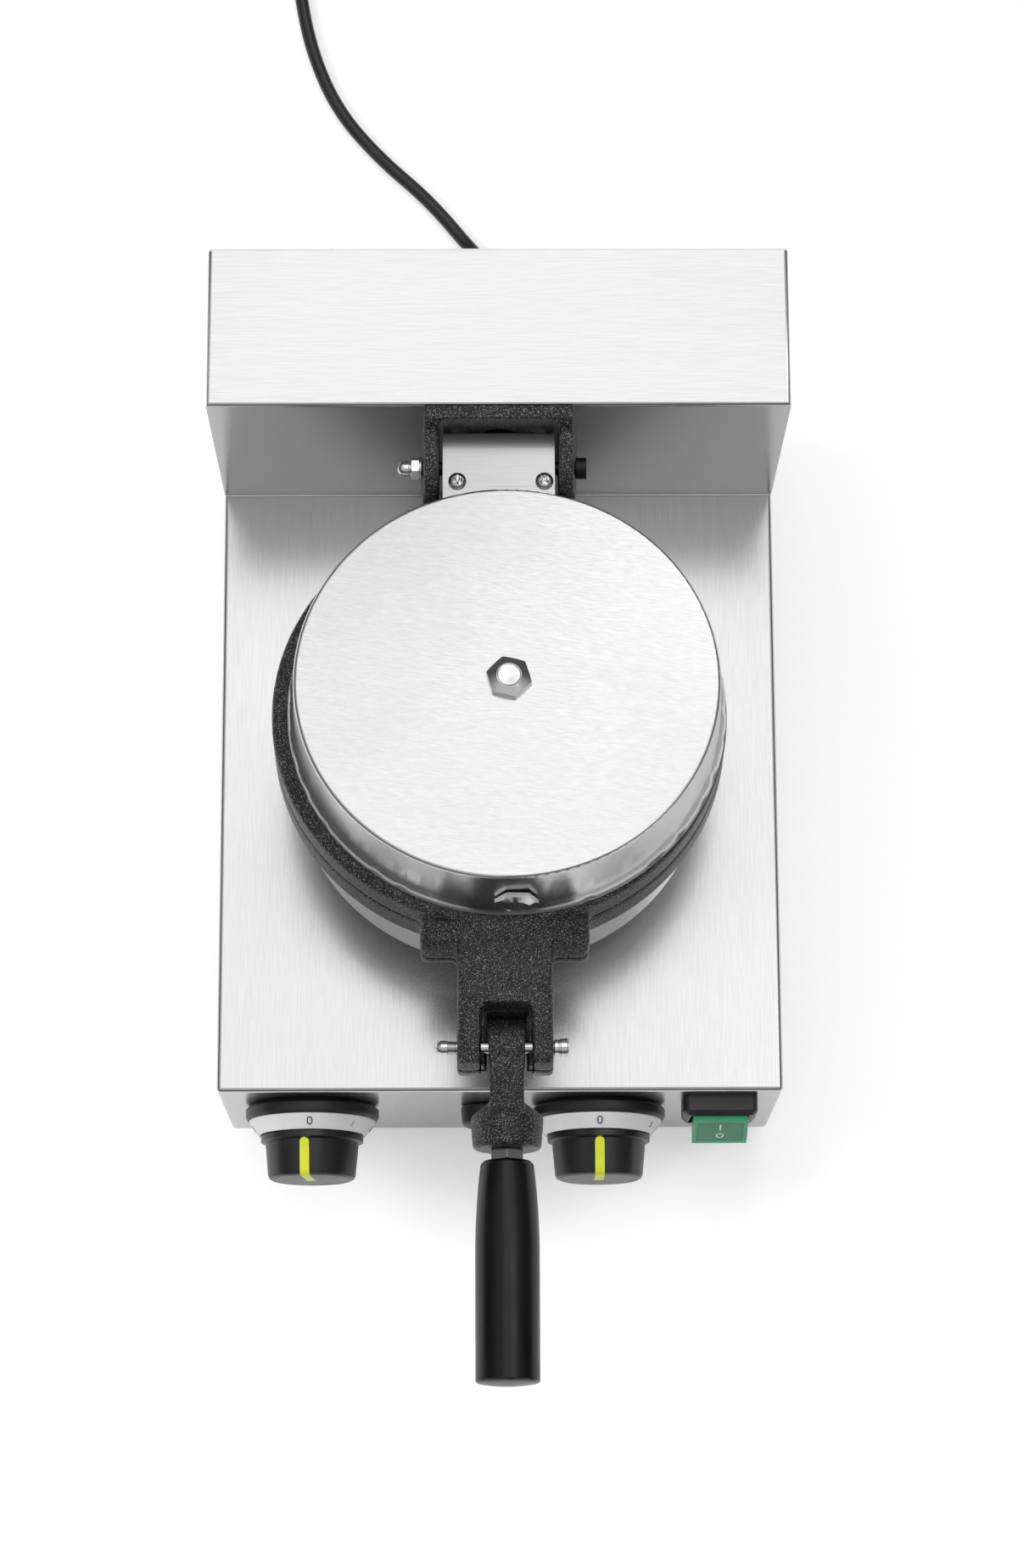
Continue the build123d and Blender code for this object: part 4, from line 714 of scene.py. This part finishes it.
def makeCapNut():
    # the cap nut on the left end of the hinge bolt: hexagon below, dome above
    foot = Matrix.Translation((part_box("hinge_dome_nut")[1][0], place["hingeY"] * mm, place["hingeZ"] * mm))
    foot = foot @ Matrix.Rotation(math.radians(-90), 4, "Y")
    facts = {"flats": 8.4, "hexagon": 3.9, "chamfer": (0.5, 0.7), "turn": 30, "rounding": 0.15,
             "dome": 3.4, "length": 9.6, "neck": 0.35, "spare": 0.2,
             "sunk": 0.1, "throat": 0.5, "shoulder": 0.8,
             "crown": ((1.0, 2.9), (0.94, 1.9), (0.8, 1.0), (0.55, 0.35), (0.25, 0.06))}
    corner, rise = facts["flats"] / math.sqrt(3) + facts["spare"], facts["hexagon"]
    profile = [(facts["flats"] / 2, 0), (corner, facts["chamfer"][0]), (corner, rise - facts["chamfer"][1]),
               (facts["dome"], rise)]
    nut = hexFastener("hinge_cap_nut", "chassis", profile, facts["flats"], facts["turn"], foot,
                      facts["rounding"])
    r, top, neck = facts["dome"], facts["length"], facts["dome"] - facts["neck"]
    domeProfile = [(neck, rise - facts["sunk"]), (neck, rise + facts["throat"]),
                   (r, rise + facts["shoulder"])]
    domeProfile += [(r * share, top - drop) for share, drop in facts["crown"]] + [(nearAxis, top)]
    turnedPiece("hinge_cap_dome", "chassis", brightSteel, domeProfile, foot, 48)
    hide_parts("hinge_dome_nut")


def makePlateScrews():
    # two pan-head screws with a cross recess, heads seated on the hinge plate
    facts = {"aside": 18.6, "shift": 0.9, "back": 92.6, "level": 47.5, "radius": 3.85, "height": 2.5,
             "cross": (4.6, 0.95, 2.2), "proud": 0.1, "turns": (-5, 45), "foot": (0.15, 0.25),
             "pan": ((0.97, 0.42), (0.86, 0.68), (0.66, 0.87), (0.4, 0.97))}
    r, h = facts["radius"], facts["height"]
    profile = [(r - facts["foot"][0], 0), (r, facts["foot"][1])]
    profile += [(r * out, h * up) for out, up in facts["pan"]] + [(nearAxis, h)]
    for number, (side, turn) in enumerate(zip((-1, 1), facts["turns"]), 1):
        spot = headFrame @ Matrix.Translation(
            ((side * facts["aside"] + facts["shift"]) * mm, facts["back"] * mm, facts["level"] * mm)
        ) @ Matrix.Rotation(math.radians(turn), 4, "Z")
        head = turnedPiece(f"hinge_plate_screw_{number}", "lid", brightSteel, profile, None, 48)
        bpy.ops.object.select_all(action="DESELECT")
        bpy.ops.mesh.primitive_cube_add(size=1)
        cutter = bpy.context.object
        cutter.data.transform(Matrix.Diagonal((*[c * mm for c in facts["cross"]], 1)))
        crossing = cutter.data.copy()
        crossing.transform(Matrix.Rotation(math.radians(90), 4, "Z"))
        for tool in (cutter, addObject("crossing", crossing)):
            tool.data.transform(Matrix.Translation((0, 0, (h + facts["proud"]) * mm)))
            selectOnly(head)
            cut = head.modifiers.new("recess", "BOOLEAN")
            cut.object, cut.operation, cut.solver = tool, "DIFFERENCE", "EXACT"
            bpy.ops.object.modifier_apply(modifier=cut.name)
            bpy.data.objects.remove(tool)
        head.data.transform(spot)
        softenShading(head, fastenerShading)
    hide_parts("hinge_plate_screws")


def makePinThread():
    # the threaded end that stands out of the fork on the left, up to its cap, and the grooved
    # head on the right
    facts = {"face": 20.15, "turns": 5, "pitch": 0.75, "root": 2.45, "crest": 2.85, "flat": (0.4, 0.6),
             "foot": 0.02, "shading": 20,
             "head": [(3.3, 0.02), (3.42, 0.3), (3.42, 1.7), (2.9, 2.0), (2.9, 2.3), (3.5, 2.5),
                      (3.75, 2.9), (3.75, 5.4), (3.45, 6.0), (nearAxis, 6.05)]}
    pitch, crest = facts["pitch"], facts["crest"]
    profile = [(facts["root"], facts["foot"])]
    for i in range(facts["turns"]):
        profile += [(crest, (i + share) * pitch) for share in facts["flat"]]
        profile += [(facts["root"], (i + 1) * pitch)]
    turnedPiece("lever_pin_thread", "lid", brightSteel, profile, pinFrame(-facts["face"], -1), 48,
                facts["shading"])
    turnedPiece("lever_pin_knurl", "lid", brightSteel, facts["head"], pinFrame(facts["face"], 1), 48,
                facts["shading"])


def makeSlotWalls():
    # inside the fork the walls lean in towards the table, and a web closes the rear of the lower slot
    facts = {"half": 10.7, "foot": 8.3, "from": -128.8, "to": -156.2, "webTo": -146.0, "overlap": 0.6}
    low = {"thick": facts["half"] - facts["foot"], "height": 11.0, "level": -6.6, "rounding": 0.5}
    top = {"thick": 1.5, "height": 5.6, "level": 3.4, "rounding": 0.6}
    web = {"width": 2 * facts["foot"] + facts["overlap"], "height": 2.0, "level": -11.4, "rounding": 0.5}

    def slotBar(name, body, aside, end, width, sizes):
        length, middle = facts["from"] - end, (facts["from"] + end) / 2
        spot = ((place["slotAside"] + aside) * mm, middle * mm, sizes["level"] * mm)
        barPiece(name, body, castEnamel, (width, length, sizes["height"]),
                 headFrame @ Matrix.Translation(spot), sizes["rounding"])

    for number, side in enumerate((-1, 1), 1):
        for name, body, wall in (("lower", "chassis", low), ("upper", "lid", top)):
            slotBar(f"{name}_slot_wall_{number}", body, side * (facts["half"] - wall["thick"] / 2),
                    facts["to"], wall["thick"], wall)
    slotBar("lower_slot_web", "chassis", 0, facts["webTo"], web["width"], web)


def makeRocker():
    # a clear green rocker with a darker window sunk in its face, pressed in at its upper end
    facts = {"width": 24.5, "height": 18.2, "rear": -7.0, "front": 13.6, "rim": 1.9, "sunk": 0.4,
             "tilt": 12.0, "pivot": 2.0, "slant": -0.22, "heel": (0.98, 0.72, 1), "window": 0.5,
             "upright": 0.9, "rounding": 0.6, "gap": 0.6, "windowRounding": 0.2, "inkRise": 0.3,
             "marks": (("I", 4.6, 3.2), ("O", 3.4, -3.2))}
    seat = panelFrame(place["rockerX"], place["rockerZ"]) @ Matrix.Translation(
        (0, 0, facts["pivot"] * mm)) @ Matrix.Rotation(math.radians(-facts["tilt"]), 4, "X")
    bpy.ops.object.select_all(action="DESELECT")
    bpy.ops.mesh.primitive_cube_add(size=1)
    button = bpy.context.object
    depth, middle = facts["front"] - facts["rear"], (facts["front"] + facts["rear"]) / 2
    button.data.transform(Matrix.Translation((0, 0, middle * mm)) @ Matrix.Diagonal(
        (facts["width"] * mm, facts["height"] * mm, depth * mm, 1)))
    slant = math.atan(facts["slant"])
    lean = Matrix.Rotation(slant, 4, "X")
    bpy.ops.object.mode_set(mode="EDIT")
    bpy.ops.mesh.select_mode(type="FACE")
    for facing, steps in ((1, "window"), (-1, "heel")):
        bpy.ops.mesh.select_all(action="DESELECT")
        bpy.ops.object.mode_set(mode="OBJECT")
        for face in button.data.polygons:
            face.select = face.normal.z * facing > facts["upright"]
        bpy.ops.object.mode_set(mode="EDIT")
        if steps == "window":
            bpy.ops.transform.rotate(value=-slant, orient_axis="X",
                                     center_override=(0, 0, facts["front"] * mm))
            bpy.ops.mesh.inset(thickness=facts["rim"] * mm)
            bpy.ops.mesh.extrude_region_move(TRANSFORM_OT_translate={"value": (0, 0, -facts["sunk"] * mm)})
        else:
            bpy.ops.transform.resize(value=facts["heel"], center_override=(0, 0, facts["rear"] * mm))
    bpy.ops.object.mode_set(mode="OBJECT")
    roundEdges(button, facts["rounding"], segments=3, angle=60)
    settle(button, "rocker_lens", "rocker", greenPolycarbonate, seat)
    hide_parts("rocker_button")
    level = facts["front"] - facts["sunk"]
    face = seat @ Matrix.Translation((0, 0, level * mm)) @ lean
    border = 2 * facts["rim"] + facts["gap"]
    inner = (facts["width"] - border, facts["height"] - border, facts["window"])
    barPiece("rocker_window", "rocker", greenWindow, inner, face, facts["windowRounding"])
    for text, height, rise in facts["marks"]:
        lettering(f"rocker_mark_{text}", "rocker", whiteInk, text, height,
                  face @ Matrix.Translation((0, rise * mm, facts["inkRise"] * mm)))


def makePlateTongue():
    # the hinge plate runs on under the edge of the cover
    facts = {"width": 48.0, "from": 91.5, "to": 84.0, "level": 46.85, "sheet": 1.2, "rounding": 0.15}
    middle = (facts["from"] + facts["to"]) / 2
    barPiece("hinge_plate_tongue", "lid", stainlessPlain,
             (facts["width"], facts["from"] - facts["to"], facts["sheet"]),
             headFrame @ Matrix.Translation((0, middle * mm, facts["level"] * mm)), facts["rounding"])


def makePlugRibs():
    # moulded ribs on the plug's cable end
    facts = {"from": 1.0, "pitch": 2.4, "ribs": 5, "foot": 6.3, "rise": 0.6, "slope": 0.1,
             "crest": 1.3, "flank": 1.6, "valley": 2.2, "start": (5.9, 0.6), "swell": 0.1}
    profile = [facts["start"]]
    for i in range(facts["ribs"]):
        foot = facts["from"] + i * facts["pitch"]
        root = facts["foot"] + facts["slope"] * foot
        profile += [(root + facts["rise"], foot), (root + facts["rise"], foot + facts["crest"]),
                    (root, foot + facts["flank"]), (root + facts["swell"], foot + facts["valley"])]
    cableEnd = (Matrix.Translation(Vector(cordFacts["plug"]) * mm)
                @ Matrix.Rotation(math.radians(cordFacts["plugTurn"]), 4, "Z")
                @ Matrix.Rotation(math.radians(-90), 4, "X"))
    turnedPiece("plug_ribs", "chassis", cordRubber, profile, cableEnd, 48, 30)


makeCoverBolts()
makePlateTongue()
makePlugRibs()
makeGripNut()
makeCapNut()
makePlateScrews()
makePinThread()
makeSlotWalls()
makeRocker()
print("fittings made")


cavity = {"radius": 56.3, "depth": 24.5, "facing": 0.5}


def coatCavity(piece, side):
    # the baking surface inside the two castings is coated, not enamelled
    piece.data.materials.append(bakingCoat)
    toHead = headFrame.inverted()
    for face in piece.data.polygons:
        spot = toHead @ face.center
        radius = math.hypot(spot.x, spot.y)
        facing = side * (toHead.to_3x3() @ face.normal).z
        inside = radius < cavity["radius"] * mm and 0 <= side * spot.z < cavity["depth"] * mm
        if inside and facing < cavity["facing"]:
            face.material_index = 1


coatCavity(dressed["upper_casting"], 1)
coatCavity(dressed["lower_casting"], -1)


# The column stands on the base with a narrow folded foot

hem = {"size": (248.0, 1.0, 1.1), "ahead": 0.4, "rise": 0.5, "rounding": 0.3}
barPiece("column_foot_hem", "chassis", stainlessColumn, hem["size"], Matrix.Translation(
    (0, (place["columnY"] - hem["ahead"]) * mm, (place["baseTop"] + hem["rise"]) * mm)), hem["rounding"])


# Marks on the two dials

dialFacts = {
    "outer": 28.5, "inner": 24.0,       # the cone that carries the marks
    "foot": 7.4, "top": 13.5,           # its edges in front of the panel
    "proud": 0.02,
    "zeroHeight": 4.3, "figureShare": 0.72,
    "tick": (0.35, 2.6, 0.12),
    "tickRounding": 0.04,
}


def onDial(x, angle):
    # local Z stands off the cone, local Y points back to the panel
    f = dialFacts
    slope = math.atan2(f["top"] - f["foot"], f["outer"] - f["inner"])
    middle = ((f["outer"] + f["inner"]) / 2 * mm, (f["foot"] + f["top"]) / 2 * mm)
    return (panelFrame(x, place["controlZ"]) @ Matrix.Rotation(-math.radians(angle), 4, "Z")
            @ Matrix.Translation((0, middle[0], middle[1])) @ Matrix.Rotation(-slope, 4, "X")
            @ Matrix.Translation((0, 0, f["proud"] * mm)))


dialMarks = {
    "thermostat": {0: "0", 92: "50", 136: "100", 180: "150", 224: "200", 268: "250"},
    "timer": {0: "0", 62: "5", 104: "10", 146: "15", 188: "20", 230: "25", 270: "30"},
}
for control, marks in dialMarks.items():
    for angle, text in marks.items():
        height = dialFacts["zeroHeight"] * (1.0 if text == "0" else dialFacts["figureShare"])
        lettering(f"{control}_mark_{angle}", "chassis", dialInk, text, height,
                  onDial(place[control + "X"], angle))
ticks = {"thermostat": (46, 114, 158, 202, 246), "timer": (83, 125, 167, 209, 250)}
for control, angles in ticks.items():
    for angle in angles:
        barPiece(f"{control}_tick_{angle}", "chassis", dialInk, dialFacts["tick"],
                 onDial(place[control + "X"], angle), dialFacts["tickRounding"], segments=1)
print("dials marked")


# Studio: a white table, a pale surround and six soft lamps, three of them seen in reflections

table = {
    "size": 12, "level": -0.0006,       # in metres, just under the feet
    "paper": 0.86,
    "near": 0.9, "far": 2.4,            # its own glow rises between these distances, in metres
    "glowNear": 0.3, "glowFar": 1.0,    # as the camera sees it
    "glowMirrored": 0.12,               # as a reflection shows it
}


def makeTable():
    bpy.ops.mesh.primitive_plane_add(size=table["size"], location=(0, 0, table["level"]))
    floor = bpy.context.object
    floor.name = "studio_floor"
    material = bpy.data.materials.new("studio_white")
    material.use_nodes = True
    tree = material.node_tree
    tree.nodes.clear()
    paper = addNode(tree, "ShaderNodeBsdfDiffuse", {"Color": (*[table["paper"]] * 3, 1)})
    ray = addNode(tree, "ShaderNodeLightPath")
    # beyond the lamps' pool the table glows by itself, so that it stays white to its edge
    coords = addNode(tree, "ShaderNodeTexCoord")
    reach = addNode(tree, "ShaderNodeVectorMath", {"operation": "LENGTH"}, {0: coords.outputs["Object"]})
    beyond = addNode(tree, "ShaderNodeMapRange", {
        "From Min": table["near"], "From Max": table["far"],
        "To Min": table["glowNear"], "To Max": table["glowFar"]}, {"Value": reach.outputs["Value"]})
    strength = addNode(tree, "ShaderNodeMapRange", {"To Min": table["glowMirrored"]},
                       {"Value": ray.outputs["Is Camera Ray"], "To Max": beyond.outputs[0]})
    glow = addNode(tree, "ShaderNodeEmission", {"Color": (1, 1, 1, 1)}, {"Strength": strength.outputs[0]})
    both = addNode(tree, "ShaderNodeAddShader", {}, {0: paper.outputs[0], 1: glow.outputs[0]})
    seen = addNode(tree, "ShaderNodeMath", {"operation": "MAXIMUM"},
                   {0: ray.outputs["Is Camera Ray"], 1: ray.outputs["Is Glossy Ray"]})
    mix = addNode(tree, "ShaderNodeMixShader", {},
                  {0: seen.outputs[0], 1: paper.outputs[0], 2: both.outputs[0]})
    addNode(tree, "ShaderNodeOutputMaterial", {}, {"Surface": mix.outputs[0]})
    floor.data.materials.append(material)


surround = {
    "seen": 1.0,
    "dim": 0.12, "bright": 0.72,        # in reflections, low down and overhead
    "low": 0.45, "high": 0.82,          # the heights between which it brightens
}


def makeSurround():
    # white where the camera sees it, dimmer in reflections
    world = bpy.data.worlds.new("studio_surround")
    bpy.context.scene.world = world
    world.use_nodes = True
    tree = world.node_tree
    tree.nodes.clear()
    ray = addNode(tree, "ShaderNodeLightPath")
    coords = addNode(tree, "ShaderNodeTexCoord")
    parts = addNode(tree, "ShaderNodeSeparateXYZ", {}, {0: coords.outputs["Generated"]})
    soft = addNode(tree, "ShaderNodeMapRange", {
        "From Min": surround["low"], "From Max": surround["high"],
        "To Min": surround["dim"], "To Max": surround["bright"]}, {"Value": parts.outputs["Z"]})
    white = addNode(tree, "ShaderNodeMix", {"data_type": "FLOAT", 3: surround["seen"]},
                    {"Factor": ray.outputs["Is Camera Ray"], 2: soft.outputs[0]})
    background = addNode(tree, "ShaderNodeBackground", {"Color": (1, 1, 1, 1)},
                         {"Strength": white.outputs[0]})
    addNode(tree, "ShaderNodeOutputWorld", {}, {"Surface": background.outputs[0]})


lamps = {  # place, target, width, height, power, seen in gloss
    "backSoftbox": ((-0.05, 0.62, 2.0), (-0.02, 0.05, 0.1), 1.05, 1.5, 5.0, True),
    "coverSoftbox": ((0.5, 1.4, 1.6), (0, 0, 0.2), 0.7, 0.6, 2.4, True),
    "baseSoftbox": ((0.72, 0.1, 2.0), (0, 0, 0.1), 0.45, 0.6, 1.8, True),
    "leftSoftbox": ((-1.3, 0.1, 1.1), (0, 0, 0.15), 0.9, 0.8, 16, False),
    "rightSoftbox": ((1.5, 0.3, 0.9), (0, 0, 0.15), 0.5, 0.9, 7, False),
    "frontFill": ((0.5, -1.7, 1.2), (0, 0, 0.15), 1.2, 0.8, 5, False),
}


def makeLamps():
    for name, (spot, target, width, height, power, inGloss) in lamps.items():
        light = bpy.data.lights.new(name, "AREA")
        light.shape = "RECTANGLE"
        light.size, light.size_y, light.energy = width, height, power
        lamp = addObject(name, light)
        lamp.location = spot
        lamp.visible_camera = False
        lamp.visible_glossy = inGloss
        lamp.rotation_euler = (Vector(target) - Vector(spot)).to_track_quat("-Z", "Y").to_euler()


makeTable()
makeSurround()
makeLamps()
print("studio lit")
